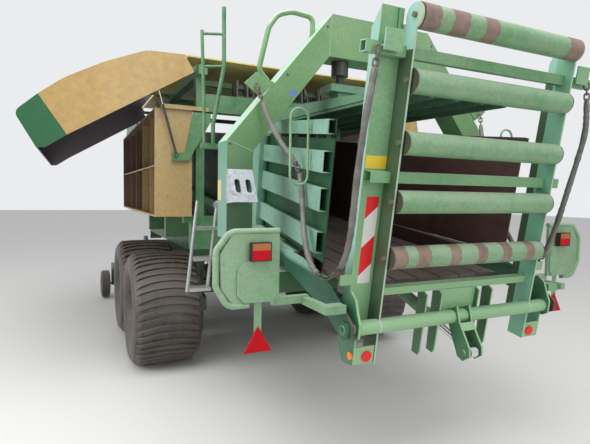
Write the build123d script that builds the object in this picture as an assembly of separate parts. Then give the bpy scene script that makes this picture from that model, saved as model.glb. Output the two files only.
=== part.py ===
from build123d import *
import math
import os

# Large square baler, towed, parked on its jack with the bale chute folded up and the left hood open.
# Millimetres. While it is built, X is to the machine's right from its centreline, Y forward from the
# chute's top roller, Z up from the floor. The finished pieces are moved so that the tow eye's centre
# is the origin.

# Overall and running gear
EYE_Y = 8650
EYE_Z = 560
TYRE_R = 555
TYRE_W = 640
RIM_R = 285
WHEEL_OUT = 1520
AXLE_Y = (3050, 4270)
STUB_R = 45
FIT = 0.05
GAP = 0.3

# Bale chamber, in its own tilted frame: u along the channel, v square to the floor
CHAMBER_W = 1200
CHAMBER_TILT = 7.0
CHAMBER_Y = 500
CHAMBER_Z = 1200
CHAMBER_LEN = 4150
WALL_T = 8
WALL_H = 805
ROOF_V = 815
RIB_DEEP = 65
RIBS = ((615, 737, 44), (400, 534, 50), (160, 287, 58))  # low v, high v, rear end u
RAIL_V = (-20, 104)
SIDE_OPEN = 5.6
SIDE_RIB = 45

# Bale chute, in its own frame: n forward of the chute's plane, w up along it from the pivot
CHUTE_TILT = 9.1
PIVOT_Y = 240
PIVOT_Z = 1020
ROLLER_R = 59
ROLLER_L = 1108
ROLLER_W = (1531, 1240.3, 949.6, 658.9, 368.2)
FLANGE_X = 560
FLANGE_T = 10
FLANGE_N = (-14, 97)
POST_W = 130
POST_N = (87, 155)
BAR_N = (37, 87)
PIVOT_R = 39
PIN_R = 27

# Yoke round the chamber
YOKE_Y = (1050, 1240)
YOKE_X = 1138
YOKE_TOP = 2914
YOKE_KINK = 2028

# Twine boxes and hoods
BOX_X = (1040, 1360)
BOX_Y = (2400, 5080)
BOX_Z = (1490, 2420)
HOOD_Y = (2300, 5150)
HOOD_OPEN = 55
HINGE_X = 1120
HINGE_Z = 2800
HOOD_T = 8

AXES = {"X": Vector(1, 0, 0), "Y": Vector(0, 1, 0), "Z": Vector(0, 0, 1)}
PARTS = {}


def block(x, y, z):
    """A box between two values on each axis."""
    return Pos((x[0] + x[1]) / 2, (y[0] + y[1]) / 2, (z[0] + z[1]) / 2) * Box(
        abs(x[1] - x[0]), abs(y[1] - y[0]), abs(z[1] - z[0])
    )


def prism(axis, low, high, points, radius=0):
    """A flat outline, in the other two axes, pushed along an axis from low to high."""
    place = "XYZ".index(axis)
    corners = [Vector(*(p[:place] + (low,) + p[place:])) for p in points]
    face = make_face(Polyline(*corners, close=True))
    if radius:
        face = fillet(face.vertices(), radius)
    return extrude(face, high - low, dir=AXES[axis])


def bar(start, end, radius, hole=0):
    """A round bar or tube between two points."""
    start, end = Vector(*start), Vector(*end)
    plane = Plane(origin=start, z_dir=end - start)
    solid = plane * Cylinder(radius, (end - start).length, align=(Align.CENTER, Align.CENTER, Align.MIN))
    if hole:
        solid -= plane * Cylinder(
            hole, (end - start).length, align=(Align.CENTER, Align.CENTER, Align.MIN)
        )
    return solid


def bent(points, radius, bend, hole=0):
    """A round tube bent along straight runs with one bend radius or a list of them."""
    points = [Vector(*p) for p in points]
    path = FilletPolyline(*points, radius=bend)
    section = Plane(origin=points[0], z_dir=points[1] - points[0])
    profile = section * Circle(radius)
    if hole:
        profile = profile - section * Circle(hole)
    return sweep(profile, path=path)


def ring(axis_point, axis, outer, inner, length):
    """A round disc or ring centred on a point, square to an axis."""
    plane = Plane(origin=Vector(*axis_point), z_dir=AXES[axis])
    solid = plane * Cylinder(outer, length)
    if inner:
        solid -= plane * Cylinder(inner, length)
    return solid


def turned(points, axis_point, axis="X"):
    """A body turned about an axis from (along, radius) points; arcs are given as three points."""
    edges = []
    for item in points:
        flat = [Vector(along, radius, 0) for along, radius in item]
        edges.append(Line(*flat) if len(flat) == 2 else ThreePointArc(*flat))
    face = make_face(edges)
    solid = revolve(face, Axis.X)
    if axis == "Y":
        solid = Rot(0, 0, 90) * solid
    return Pos(*axis_point) * solid


def both(solid):
    """A piece and its mirror image on the other side of the machine."""
    return [solid, mirror(solid, Plane.YZ)]


def joined(items):
    """Solids fused into one."""
    total = items[0]
    for item in items[1:]:
        total = total + item
    return total


def keep(name, *items):
    """Store a node made of one or more solids."""
    flat = []
    for item in items:
        flat += list(item) if isinstance(item, (list, tuple)) else [item]
    PARTS[name] = flat


CHAMBER = Pos(0, CHAMBER_Y, CHAMBER_Z) * Rot(CHAMBER_TILT, 0, 0)
CHUTE = Pos(0, PIVOT_Y, PIVOT_Z) * Rot(CHUTE_TILT, 0, 0)
HALF = CHAMBER_W / 2


# Wheels: a wide flotation tyre on a dished rim whose hub runs on a stub axle
WHEEL_X = WHEEL_OUT - TYRE_W / 2
HUB_R = 110
HUB_IN = 130
DISC_X = 60
SIDES = {"left": -1, "right": 1}


def tyre(y, z=TYRE_R):
    half = TYRE_W / 2
    crown = TYRE_R
    shoulder = half - 45
    return turned(
        [
            [(-200, RIM_R), (-half + 15, RIM_R + 60), (-half, RIM_R + 130)],
            [(-half, RIM_R + 130), (-half + 4, RIM_R + 190), (-shoulder, crown - 22)],
            [(-shoulder, crown - 22), (0, crown), (shoulder, crown - 22)],
            [(shoulder, crown - 22), (half - 4, RIM_R + 190), (half, RIM_R + 130)],
            [(half, RIM_R + 130), (half - 15, RIM_R + 60), (200, RIM_R)],
            [(200, RIM_R), (-200, RIM_R)],
        ],
        (0, y, z),
    )


def rim():
    barrel = turned(
        [
            [(-198, RIM_R - 10), (-198, RIM_R)],
            [(-198, RIM_R), (198, RIM_R)],
            [(198, RIM_R), (198, RIM_R - 10)],
            [(198, RIM_R - 10), (-198, RIM_R - 10)],
        ],
        (0, 0, 0),
    )
    disc = ring((DISC_X, 0, 0), "X", RIM_R - 9, STUB_R + FIT, 14)
    dish = turned(
        [
            [(DISC_X + 6, 190), (DISC_X + 60, 130)],
            [(DISC_X + 60, 130), (DISC_X + 60, 118)],
            [(DISC_X + 60, 118), (DISC_X + 6, 170)],
            [(DISC_X + 6, 170), (DISC_X + 6, 190)],
        ],
        (0, 0, 0),
    )
    hub = ring((0, 0, 0), "X", HUB_R, STUB_R + FIT, 2 * HUB_IN)
    cap = ring((HUB_IN + 25, 0, 0), "X", 70, 0, 50)
    return joined([barrel, disc, dish, hub, cap])


for side, sign in SIDES.items():
    for place, y in zip(("rear", "front"), AXLE_Y):
        wheel_tyre = Pos(sign * WHEEL_X, 0, 0) * tyre(y)
        wheel_rim = Pos(WHEEL_X, y, TYRE_R) * rim()
        keep(f"{side}_{place}_tyre", wheel_tyre)
        keep(f"{side}_{place}_rim", wheel_rim if sign > 0 else mirror(wheel_rim, Plane.YZ))

# Tandem axle: rocker beams with stub axles on a cross beam that hangs from the frame
ROCKER_X = (760, 850)
ROCKER_Z = (TYRE_R - 80, TYRE_R + 80)
MID_Y = sum(AXLE_Y) / 2
BEAM_X = (650, 740)
BEAM_Z = (1010, 1170)
rocker = prism(
    "X",
    ROCKER_X[0],
    ROCKER_X[1],
    [
        (AXLE_Y[0] - 110, ROCKER_Z[0] + 20),
        (MID_Y, ROCKER_Z[0] - 10),
        (AXLE_Y[1] + 110, ROCKER_Z[0] + 20),
        (AXLE_Y[1] + 110, ROCKER_Z[1]),
        (MID_Y + 200, ROCKER_Z[1] + 90),
        (MID_Y - 200, ROCKER_Z[1] + 90),
        (AXLE_Y[0] - 110, ROCKER_Z[1]),
    ],
    radius=30,
)
stub_axles = [bar((ROCKER_X[1], y, TYRE_R), (WHEEL_X + HUB_IN, y, TYRE_R), STUB_R) for y in AXLE_Y]
collars = [bar((ROCKER_X[1], y, TYRE_R), (WHEEL_X - HUB_IN - 8, y, TYRE_R), 80) for y in AXLE_Y]
trunnion = bar((BEAM_X[1] - 60, MID_Y, TYRE_R + 60), (ROCKER_X[0], MID_Y, TYRE_R + 60), 70)
hanger = prism(
    "X",
    BEAM_X[0],
    BEAM_X[0] + 30,
    [
        (MID_Y - 230, BEAM_Z[0] - GAP),
        (MID_Y - 110, TYRE_R - 30),
        (MID_Y + 110, TYRE_R - 30),
        (MID_Y + 230, BEAM_Z[0] - GAP),
    ],
)
side_axle = joined([rocker] + stub_axles + collars + [trunnion, hanger])
cross_tube = block((-BEAM_X[0], BEAM_X[0]), (MID_Y - 75, MID_Y + 75), (TYRE_R - 15, TYRE_R + 135))
keep("tandem_axle", joined(both(side_axle) + [cross_tube]))

# Main frame: two side beams with cross members
FRAME_Y = (YOKE_Y[1] + GAP, 6900)
CROSS_Y = (1300, 2100, 3500, 5150, 6700)
SEAT_Y = (1980, 3300, 4400)
HOUSE_Y = (CHAMBER_Y + CHAMBER_LEN * math.cos(math.radians(CHAMBER_TILT)) + 20, 6560)
HOUSE_Z = (1290, 2480)
crosses = [
    block((-BEAM_X[0], BEAM_X[0]), (y, y + 120), (BEAM_Z[0] + 20, BEAM_Z[1] - 20))
    for y in CROSS_Y
]
SLOPE = math.tan(math.radians(CHAMBER_TILT))
RISE = 1 / math.cos(math.radians(CHAMBER_TILT))


def chamber_z(y, v):
    """Height of a line at v in the chamber's frame, where it passes y."""
    return CHAMBER_Z + (y - CHAMBER_Y) * SLOPE + v * RISE


seats = [
    prism(
        "X",
        BEAM_X[0],
        HALF + WALL_T + RIB_DEEP,
        [
            (y, BEAM_Z[1]),
            (y + 120, BEAM_Z[1]),
            (y + 120, chamber_z(y + 120, RAIL_V[0]) - GAP),
            (y, chamber_z(y, RAIL_V[0]) - GAP),
        ],
    )
    for y in SEAT_Y
]
saddles = [block((560, BEAM_X[1]), (y, y + 200), (BEAM_Z[1], HOUSE_Z[0] - GAP)) for y in (4700, 6300)]
frame_sides = both(joined(seats + saddles + [block(BEAM_X, FRAME_Y, BEAM_Z)]))
keep("main_frame", joined(frame_sides + crosses))

# Bale chamber floor: slats on cross bars
SLATS = 7
SLAT_W = 148
SLAT_T = 14
BARS_U = [30 + (CHAMBER_LEN - 180) * i / 4 for i in range(5)]
BAR = 60
pitch = (CHAMBER_W - 10) / SLATS
slats = [
    block(
        (-HALF + 5 + pitch * (i + 0.5) - SLAT_W / 2, -HALF + 5 + pitch * (i + 0.5) + SLAT_W / 2),
        (0, CHAMBER_LEN),
        (-SLAT_T, 0),
    )
    for i in range(SLATS)
]
floor_bars = [block((-HALF + GAP, HALF - GAP), (u, u + BAR), (-SLAT_T - BAR, -SLAT_T)) for u in BARS_U]
keep("chamber_floor", CHAMBER * joined(slats + floor_bars))

# Bale chamber walls: a plate with open hat ribs, a bottom rail, a post and the chute's pivot lug
POST_U = (1250, 1390)


def hat(low, high, start, end, deep=RIB_DEEP, skin=6):
    """A channel with its open side against the wall plate and its rear end cut on a slant."""
    outer = prism(
        "Z",
        low,
        high,
        [
            (HALF + WALL_T, start), (HALF + WALL_T + deep, start + 30), (HALF + WALL_T + deep, end),
            (HALF + WALL_T, end),
        ],
    )
    inner = block(
        (HALF + WALL_T - 1, HALF + WALL_T + deep - skin), (start - 10, end + 10),
        (low + skin, high - skin)
    )
    return outer - inner


wall = prism(
    "X",
    HALF,
    HALF + WALL_T,
    [
        (280, RAIL_V[0]),
        (CHAMBER_LEN, RAIL_V[0]),
        (CHAMBER_LEN, WALL_H),
        (POST_U[0], WALL_H),
        (POST_U[0], RAIL_V[1]),
        (262, RAIL_V[1]),
    ],
)
rail = hat(RAIL_V[0], RAIL_V[1], 250, CHAMBER_LEN)
upright = block((HALF + WALL_T, HALF + WALL_T + 80), POST_U, (RAIL_V[1], WALL_H)) - block(
    (HALF + WALL_T - 1, HALF + WALL_T + 74), (POST_U[0] + 6, POST_U[1] - 6), (RAIL_V[1] - 1, WALL_H - 6)
)

# Side flap: the wall's rear part, turned outward about the post's rear face, with a beam along its top
FLAP_REAR = 34
TOP_BEAM = (825, 905)
flap_sheet = prism(
    "X",
    HALF,
    HALF + WALL_T,
    [
        (FLAP_REAR + 26, RAIL_V[1] + 6), (POST_U[0] + 4, RAIL_V[1] + 6), (POST_U[0] + 4, WALL_H),
        (FLAP_REAR, WALL_H),
    ],
)
flap_ribs = [hat(low, high, start, POST_U[0], SIDE_RIB) for low, high, start in RIBS]
top_beam = block((HALF, HALF + WALL_T + SIDE_RIB), (FLAP_REAR, POST_U[0]), TOP_BEAM) - block(
    (HALF + 6, HALF + WALL_T + SIDE_RIB - 6), (FLAP_REAR - 5, POST_U[0] - 8),
    (TOP_BEAM[0] + 6, TOP_BEAM[1] - 6)
)
beam_feet = [
    block((HALF, HALF + WALL_T), (u, u + 60), (WALL_H - 5, TOP_BEAM[0] + 3))
    for u in (90, 640, 1180)
]
side_flap = joined([flap_sheet] + flap_ribs + [top_beam] + beam_feet)
side_flap = Pos(HALF, POST_U[0], 0) * Rot(0, 0, SIDE_OPEN) * Pos(-HALF, -POST_U[0], 0) * side_flap
chamber_wall = CHAMBER * joined([wall, rail, upright, side_flap])
LUG_X = (742, 760)
lug_plate = prism(
    "X",
    LUG_X[0],
    LUG_X[1],
    [
        (PIVOT_Y - 55, PIVOT_Z - 30),
        (PIVOT_Y + 30, PIVOT_Z - 62),
        (PIVOT_Y + 260, PIVOT_Z + 60),
        (PIVOT_Y + 760, PIVOT_Z + 215),
        (PIVOT_Y + 760, PIVOT_Z + 330),
        (PIVOT_Y + 520, PIVOT_Z + 300),
        (PIVOT_Y + 200, PIVOT_Z + 200),
        (PIVOT_Y - 20, PIVOT_Z + 62),
        (PIVOT_Y - 60, PIVOT_Z + 30),
    ],
    radius=14,
) - ring((LUG_X[0], PIVOT_Y, PIVOT_Z), "X", PIN_R + FIT, 0, 60)
lug_boss = ring((LUG_X[1] + 9, PIVOT_Y, PIVOT_Z), "X", 44, PIN_R + FIT, 18)
lug_spacer = CHAMBER * block((HALF + WALL_T + RIB_DEEP, LUG_X[0]), (420, 720), (-10, 94))
side_wall = joined([chamber_wall, lug_plate, lug_boss, lug_spacer])
keep("chamber_right_wall", side_wall)
keep("chamber_left_wall", mirror(side_wall, Plane.YZ))

# Top flap, raised: plate with ribs below it, side plates, a cross beam for the press cylinders. Ahead of it
# the fixed roof, which carries the flap's front end
TOP_Y = (300, 2380)
TOP_Z = 2246.3
TOP_TILT = 1.96
TOP_W = 395
TOP_RIBS = (-380, -190, 0, 190, 380)
TOP_L = TOP_Y[1] - TOP_Y[0]
ROOF_T = 8
PRESS_BEAM = (1060, 1230)
PRESS_BEAM_Z = (2410, 2460)
PRESS_X = 290
top_ribs = [block((x - 5, x + 5), (0, TOP_L), (0, 40)) for x in TOP_RIBS]
top_plate = block((-TOP_W, TOP_W), (0, TOP_L), (38, 46))
top_cross = [block((-TOP_W, TOP_W), (s, s + 60), (44, 56 + s / 35)) for s in (0, 480, 1240, 1700)]
side_edge = [(0, 20), (0, 46), (305, 59), (855, 89), (1250, 110), (1600, 110), (TOP_L, 60), (TOP_L, 20)]
top_sides = both(prism("X", TOP_W - 10, TOP_W, side_edge))
top_flap = Pos(0, TOP_Y[0], TOP_Z) * Rot(TOP_TILT, 0, 0) * joined(
    [top_plate] + top_ribs + top_cross + top_sides
)
press_beam = block((-400, 400), PRESS_BEAM, PRESS_BEAM_Z)
beam_legs = both(
    block((PRESS_X - 45, PRESS_X + 45), (PRESS_BEAM[0] + 20, PRESS_BEAM[1] - 20), (2310, 2412))
)
ROOF_U = 1700
fixed_roof = block(
    (-HALF - WALL_T, HALF + WALL_T), (ROOF_U, CHAMBER_LEN), (WALL_H + GAP, WALL_H + GAP + ROOF_T)
)
hinge_legs = both(block((300, 340), (2180, 2300), (chamber_z(2180, WALL_H) + 4, 2356)))
keep("chamber_roof", joined([top_flap, press_beam, CHAMBER * fixed_roof] + beam_legs + hinge_legs))

# Yoke: a closed box-section ring with posts, slanted shoulders and a deep top beam
yoke_outer = [
    (-880, 1050),
    (880, 1050),
    (YOKE_X, 1420),
    (YOKE_X, YOKE_KINK),
    (408, YOKE_TOP),
    (-408, YOKE_TOP),
    (-YOKE_X, YOKE_KINK),
    (-YOKE_X, 1420),
]
yoke_inner = [
    (-800, 1190),
    (800, 1190),
    (YOKE_X - 171, 1440),
    (YOKE_X - 171, YOKE_KINK - 59),
    (428, YOKE_TOP - 282),
    (-428, YOKE_TOP - 282),
    (171 - YOKE_X, YOKE_KINK - 59),
    (171 - YOKE_X, 1440),
]
yoke = prism("Y", YOKE_Y[0], YOKE_Y[1], yoke_outer) - prism(
    "Y", YOKE_Y[0] - 5, YOKE_Y[1] + 5, yoke_inner
)


def shoulder_z(x):
    """Height of the yoke's slanted outer edge at x."""
    return YOKE_TOP - (x - 408) * (YOKE_TOP - YOKE_KINK) / (YOKE_X - 408)


ANCHOR_X = 948
ANCHOR_Z = shoulder_z(ANCHOR_X) + 131.4
anchor_plate = prism(
    "Y",
    YOKE_Y[0],
    YOKE_Y[0] + 16,
    [
        (ANCHOR_X + 78, ANCHOR_Z), (ANCHOR_X, ANCHOR_Z + 75), (ANCHOR_X - 125, ANCHOR_Z + 20),
        (ANCHOR_X - 30, ANCHOR_Z - 75),
    ],
)
CYL_HINGE = (950, 1130)
CYL_PIN = 20
CHEEK_X = (34, 48)
cheek = prism(
    "X",
    CHEEK_X[0],
    CHEEK_X[1],
    [
        (YOKE_Y[0], CYL_HINGE[1] - 75),
        (YOKE_Y[0], CYL_HINGE[1] + 55),
        (CYL_HINGE[0] + 10, CYL_HINGE[1] + 42),
        (CYL_HINGE[0] - 42, CYL_HINGE[1] + 24),
        (CYL_HINGE[0] - 42, CYL_HINGE[1] - 24),
        (CYL_HINGE[0] + 10, CYL_HINGE[1] - 46),
    ],
)
hinge_pin = bar((-CHEEK_X[1], *CYL_HINGE), (CHEEK_X[1], *CYL_HINGE), CYL_PIN)
LOOP_Y = 1150
loop_path = [
    (-795, shoulder_z(795) - 44), (-897, 2505), (-828, 2790), (-765, 2880), (-664, 2916), (-505, 2905)
]
loop_path.append((-512, shoulder_z(512) - 20))
loop_rail = bent([(x, LOOP_Y, z) for x, z in loop_path], 17, [60, 120, 100, 150, 45])
keep("yoke", joined([yoke] + both(anchor_plate) + both(cheek) + [hinge_pin, loop_rail]))

# Press cylinders between the yoke and the top flap's cross beam

def press_cylinder(x):
    y = sum(YOKE_Y) / 2
    barrel = bar((x, y, 2530), (x, y, yoke_inner[4][1] - GAP), 60)
    rod = bar((x, y, PRESS_BEAM_Z[1] + GAP), (x, y, 2530), 28)
    return joined([barrel, rod])


keep("press_cylinders", [press_cylinder(x) for x in (-PRESS_X, PRESS_X)])

# Bale chute: posts with inner flange plates, crossbars, pivot tube, lugs and cylinder clevis
CHUTE_BARS = ((1372, 797, 54), (775, 690, 55), (172, FLANGE_X + 5, 40))  # w, half length, size
FLANGE_W = (-205, 1500)
POST_X = (FLANGE_X + FLANGE_T, FLANGE_X + FLANGE_T + POST_W)
flange = prism(
    "X", FLANGE_X, POST_X[0], [(n, w) for n, w in zip(FLANGE_N + FLANGE_N[::-1], sorted(FLANGE_W * 2))]
)
flange += ring((FLANGE_X + FLANGE_T / 2, 9, ROLLER_W[0] - 3), "X", 60, 0, FLANGE_T)
post_side = [(POST_N[0], -100), (POST_N[0], 1572), (POST_N[1], 1482), (POST_N[1], -100)]
post_room = [(POST_N[0] + 6, -110), (POST_N[0] + 6, 1556), (POST_N[1] - 6, 1476), (POST_N[1] - 6, -110)]
post = prism("X", POST_X[0], POST_X[1], post_side) - prism("X", POST_X[0] + 6, POST_X[1] - 6, post_room)
LUG_AT = (POST_X[1], POST_X[1] + 14)
end_lug = prism(
    "X",
    LUG_AT[0],
    LUG_AT[1],
    [
        (-52, -35), (-20, -58), (60, -56), (148, -70), (148, 110), (60, 180), (10, 150), (-20, 90),
        (-50, 40),
    ],
    radius=10,
)
hook_tab = block((POST_X[1] - 5, 764), (POST_N[0], POST_N[0] + 10), (204, 259))
reflector_plate = block((FLANGE_X, POST_X[1]), (-8, 0), (-203, -105))
reflector_side = prism(
    "X",
    POST_X[1] - 8,
    POST_X[1],
    [(-8, -203), (-8, -50), (150, -62), (160, -137), (125, -188), (95, -222), (60, -222)],
)
chain_plate = block((619, 721), (0, 8), (1359, 1457)) + block((619, 721), (6, 42), (1375, 1383))
post_strip = block((582, 605), (POST_N[0] - 8, POST_N[0] + 1), (1395, 1568))
pin = bar((LUG_AT[0], 0, 0), (782, 0, 0), PIN_R, PIN_R - 8)
side_parts = [
    flange, post, end_lug, hook_tab, reflector_plate, reflector_side, chain_plate, post_strip, pin
]
chute_side = joined(side_parts)
tube = bar((-LUG_AT[0], 0, 0), (LUG_AT[0], 0, 0), PIVOT_R)
bars = []
for w, half, size in CHUTE_BARS:
    bar_outer = block((-half, half), BAR_N, (w - size / 2, w + size / 2))
    bar_room = block(
        (-half - 5, half + 5), (BAR_N[0] + 5, BAR_N[1] - 5), (w - size / 2 + 5, w + size / 2 - 5)
    )
    bars.append(bar_outer - bar_room)
LEGS_X = (-251, -145, 135, 241)
LEG_TOP = CHUTE_BARS[2][0] - CHUTE_BARS[2][2] / 2 + 1
leg_side = [(5, LEG_TOP - 13), (BAR_N[0], LEG_TOP), (82, LEG_TOP), (66, -216), (16, -219), (5, -192)]
legs = [prism("X", x, x + 10, leg_side) for x in LEGS_X]
back_panel = block((LEGS_X[1] + 10, LEGS_X[2]), (33, 39), (0, LEG_TOP + 2))
CLEVIS_X = (40, 52)
EYE_N = -127
EYE_W = -162
clevis = prism(
    "X",
    CLEVIS_X[0],
    CLEVIS_X[1],
    [
        (-25, 70),
        (30, 34),
        (34, -20),
        (EYE_N + 42, EYE_W - 40),
        (EYE_N, EYE_W - 50),
        (EYE_N - 43, EYE_W - 8),
        (EYE_N - 33, EYE_W + 37),
        (-60, -10),
    ],
)
clevis_tie = prism("X", -CLEVIS_X[1], CLEVIS_X[1], [(-64, -14), (-94, -49), (-88, -54), (-58, -20)])
clevis_stub = bar((26, EYE_N, EYE_W), (CLEVIS_X[1] + 12, EYE_N, EYE_W), 18)
clevis_parts = both(joined([clevis, clevis_stub])) + [clevis_tie]
BOLT_R = 8
chute = joined(both(chute_side) + bars + [tube] + legs + [back_panel] + clevis_parts)
for w in ROLLER_W:
    chute -= ring((0, 0, w), "X", BOLT_R + FIT, 0, 2 * (FLANGE_X + FLANGE_T + 1))
keep("chute_frame", CHUTE * chute)
lens_red = ring((618, -12, -160), "Y", 30, 0, 8)
lens_side = both(ring((POST_X[1] + 4, 16, -159), "X", 21, 0, 8))
keep("chute_reflectors", [CHUTE * s for s in both(lens_red) + lens_side])


# Chute rollers: hollow tubes with end caps and stub shafts in the flange plates
def roller(w):
    half = ROLLER_L / 2
    shell = bar((-half, 0, w), (half, 0, w), ROLLER_R, ROLLER_R - 6)
    caps = [ring((s * (half - 6), 0, w), "X", ROLLER_R - 5, 0, 8) for s in (-1, 1)]
    shafts = [bar((s * (half - 6), 0, w), (s * (POST_X[0] + 13), 0, w), BOLT_R) for s in (-1, 1)]
    heads = [bar((s * (POST_X[0] + GAP), 0, w), (s * (POST_X[0] + 13), 0, w), 13) for s in (-1, 1)]
    return joined([shell] + caps + shafts + heads)


for number, w in enumerate(ROLLER_W, 1):
    keep(f"chute_roller_{number}", CHUTE * roller(w))

# Chute cylinder below the floor: barrel hinged on the yoke, rod to the chute's clevis
clevis_pin = (CHUTE * Pos(0, EYE_N, EYE_W)).position
run = (clevis_pin.Y - CYL_HINGE[0], clevis_pin.Z - CYL_HINGE[1])
span = math.hypot(*run)
CYL_R = 38
CYL_END = 520
ROD_R = 20


def on_cylinder(distance):
    """A point on the chute cylinder's axis, measured from its hinge."""
    return (0, CYL_HINGE[0] + run[0] / span * distance, CYL_HINGE[1] + run[1] / span * distance)


barrel_parts = [
    bar(on_cylinder(0), on_cylinder(65), 28),
    bar(on_cylinder(60), on_cylinder(CYL_END), CYL_R),
    bar(on_cylinder(CYL_END - 45), on_cylinder(CYL_END), CYL_R + 6),
    ring(on_cylinder(0), "X", 40, 0, 2 * CHEEK_X[0] - 6),
]
chute_barrel = joined(barrel_parts) - ring(on_cylinder(0), "X", CYL_PIN + FIT, 0, 90)
chute_barrel -= bar(on_cylinder(70), on_cylinder(CYL_END + 5), ROD_R + FIT)
keep("chute_cylinder_barrel", chute_barrel)
chute_rod = bar(
    on_cylinder(CYL_END - 90), on_cylinder(span), ROD_R
) + ring(on_cylinder(span), "X", 34, 0, 50)
keep("chute_cylinder_rod", chute_rod)

# Light boards at the rear corners: plate with a tube guard on a bent square arm
BOARD_Y = (450, 470)
board = prism(
    "Y",
    BOARD_Y[0],
    BOARD_Y[1],
    [(1036, 1150), (1290, 1150), (1345, 1230), (1352, 1400), (1290, 1500), (1036, 1500)],
    radius=12,
)
board_cover = prism(
    "Y",
    BOARD_Y[0] - 12,
    BOARD_Y[0],
    [
        (1075, 1152), (1230, 1152), (1268, 1195), (1268, 1320), (1235, 1362), (1075, 1362),
        (1048, 1320), (1048, 1195),
    ],
)
guard_y = sum(BOARD_Y) / 2
board_guard = bent(
    [
        (1036, guard_y, 1512),
        (1300, guard_y, 1512),
        (1372, guard_y, 1420),
        (1372, guard_y, 1240),
        (1310, guard_y, 1138),
        (1200, guard_y, 1138),
    ],
    16,
    [70, 60, 60, 60],
)
board_arm = block((850, 1060), (470, 510), (1120, 1160)) + block((850, 890), (215, 490), (1112, 1152))
arm_bracket = block((LUG_X[1], 850), (235, 300), (1105, 1148))
hanger_strip = block((1125, 1165), (BOARD_Y[0] + 20, BOARD_Y[0] + 24), (990, 1172))
for side, sign in SIDES.items():
    solid = joined([board, board_cover, board_guard, board_arm, arm_bracket, hanger_strip])
    keep(f"{side}_light_board", solid if sign > 0 else mirror(solid, Plane.YZ))
lamp = block((1098, 1205), (BOARD_Y[0] - 45, BOARD_Y[0] - 12), (1365, 1460)) + block(
    (1110, 1195), (BOARD_Y[0] - 12, BOARD_Y[0]), (1375, 1450)
)
triangle = prism(
    "Y", BOARD_Y[0] + 14, BOARD_Y[0] + 20, [(1068, 885), (1223, 885), (1145, 1020)], radius=4
)
keep("rear_lamps", both(lamp), both(triangle))

# Twine boxes: open on the outer side, with a lid shelf and a bracket at the rear
BOX_T = 15
box_shell = block(BOX_X, BOX_Y, BOX_Z) - block(
    (BOX_X[0] + BOX_T, BOX_X[1] + 5), (BOX_Y[0] + BOX_T, BOX_Y[1] - BOX_T),
    (BOX_Z[0] + BOX_T, BOX_Z[1] - BOX_T)
)
BAYS = 5
for i in range(1, BAYS):
    y = BOX_Y[0] + (BOX_Y[1] - BOX_Y[0]) * i / BAYS
    box_shell += block(
        (BOX_X[0] + BOX_T, BOX_X[1] - 40), (y - 4, y + 4), (BOX_Z[0] + BOX_T, BOX_Z[1] - BOX_T)
    )
box_shell += block((BOX_X[0] + BOX_T, BOX_X[1] - 40), (BOX_Y[0] + BOX_T, BOX_Y[1] - BOX_T), (1945, 1953))
box_shell += bar((BOX_X[1] - 20, BOX_Y[0] + 2, 1937), (BOX_X[1] - 20, BOX_Y[1] - 2, 1937), 8)
LID_Z = (BOX_Z[1], BOX_Z[1] + 36)
lid_shelf = block((BOX_X[0], 1310), (2375, 2760), LID_Z) + block((900, BOX_X[0]), (2375, 2425), LID_Z)
twine_box = joined([box_shell, lid_shelf])
keep("right_twine_box", twine_box)
keep("left_twine_box", mirror(twine_box, Plane.YZ))
STRUT_Y = 2340
STRUT_FOOT = (1187, 2019)
STRUT_PIN = 8
bracket = prism(
    "Y",
    BOX_Y[0] - 30,
    BOX_Y[0] - GAP,
    [(880, 2405), (1035, 2405), (1105, 2049), (1220, 2049), (1220, 1972), (1073, 1985), (880, 2330)],
)
strut_foot = bar(
    (STRUT_FOOT[0], STRUT_Y - 12, STRUT_FOOT[1]), (STRUT_FOOT[0], BOX_Y[0] - 30, STRUT_FOOT[1]),
    STRUT_PIN,
)
CARRIER_Y = ((2440, 2520), (3700, 3780), (4920, 5000))
RAIL_X = (920, 995)
RAIL_Z = (2735, 2815)
carrier = [bracket, strut_foot, block((880, RAIL_X[0] + 20), (BOX_Y[0] - 30, 2446), (2340, 2400))]
for y in CARRIER_Y:
    carrier.append(block((BEAM_X[0] + 10, BEAM_X[1]), y, (BEAM_Z[1] + GAP, 1300)))
    carrier.append(block((BEAM_X[1], BOX_X[0] - GAP), y, (1190, BOX_Z[0] - GAP)))
    carrier.append(block((RAIL_X[0], BOX_X[0] + 60), y, (BOX_Z[0] - 60, BOX_Z[0] - GAP)))
    carrier.append(block(RAIL_X, y, (BOX_Z[0] - 10, RAIL_Z[1])))
carrier.append(block(RAIL_X, (HOOD_Y[0] + 40, HOOD_Y[1] + 20), RAIL_Z))
EAR_Y = (HOOD_Y[0] + 127, sum(HOOD_Y) / 2, HOOD_Y[1] - 127)
EAR_Z = (HINGE_Z - 24, HINGE_Z + 14)
for y in EAR_Y:
    carrier.append(block((RAIL_X[1], HINGE_X + 15), (y + 12, y + 26), EAR_Z))
    carrier.append(bar((HINGE_X, y - 10, HINGE_Z), (HINGE_X, y + 26, HINGE_Z), STRUT_PIN))
crossers = [
    block((-RAIL_X[0], RAIL_X[0]), (y, y + 60), (RAIL_Z[0], RAIL_Z[0] + 50))
    for y in (2760, 3800, 5000)
]
KNOT_Z = (2431, 2590)
knot_room = block(
    (-RAIL_X[0], RAIL_X[0]), (CARRIER_Y[0][0] + 8, CARRIER_Y[0][1] + 5), (KNOT_Z[0] + 8, KNOT_Z[1] - 8)
)
crossers.append(block((-RAIL_X[0], RAIL_X[0]), CARRIER_Y[0], KNOT_Z) - knot_room)
keep("body_frame", joined(both(joined(carrier)) + crossers))


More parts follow.
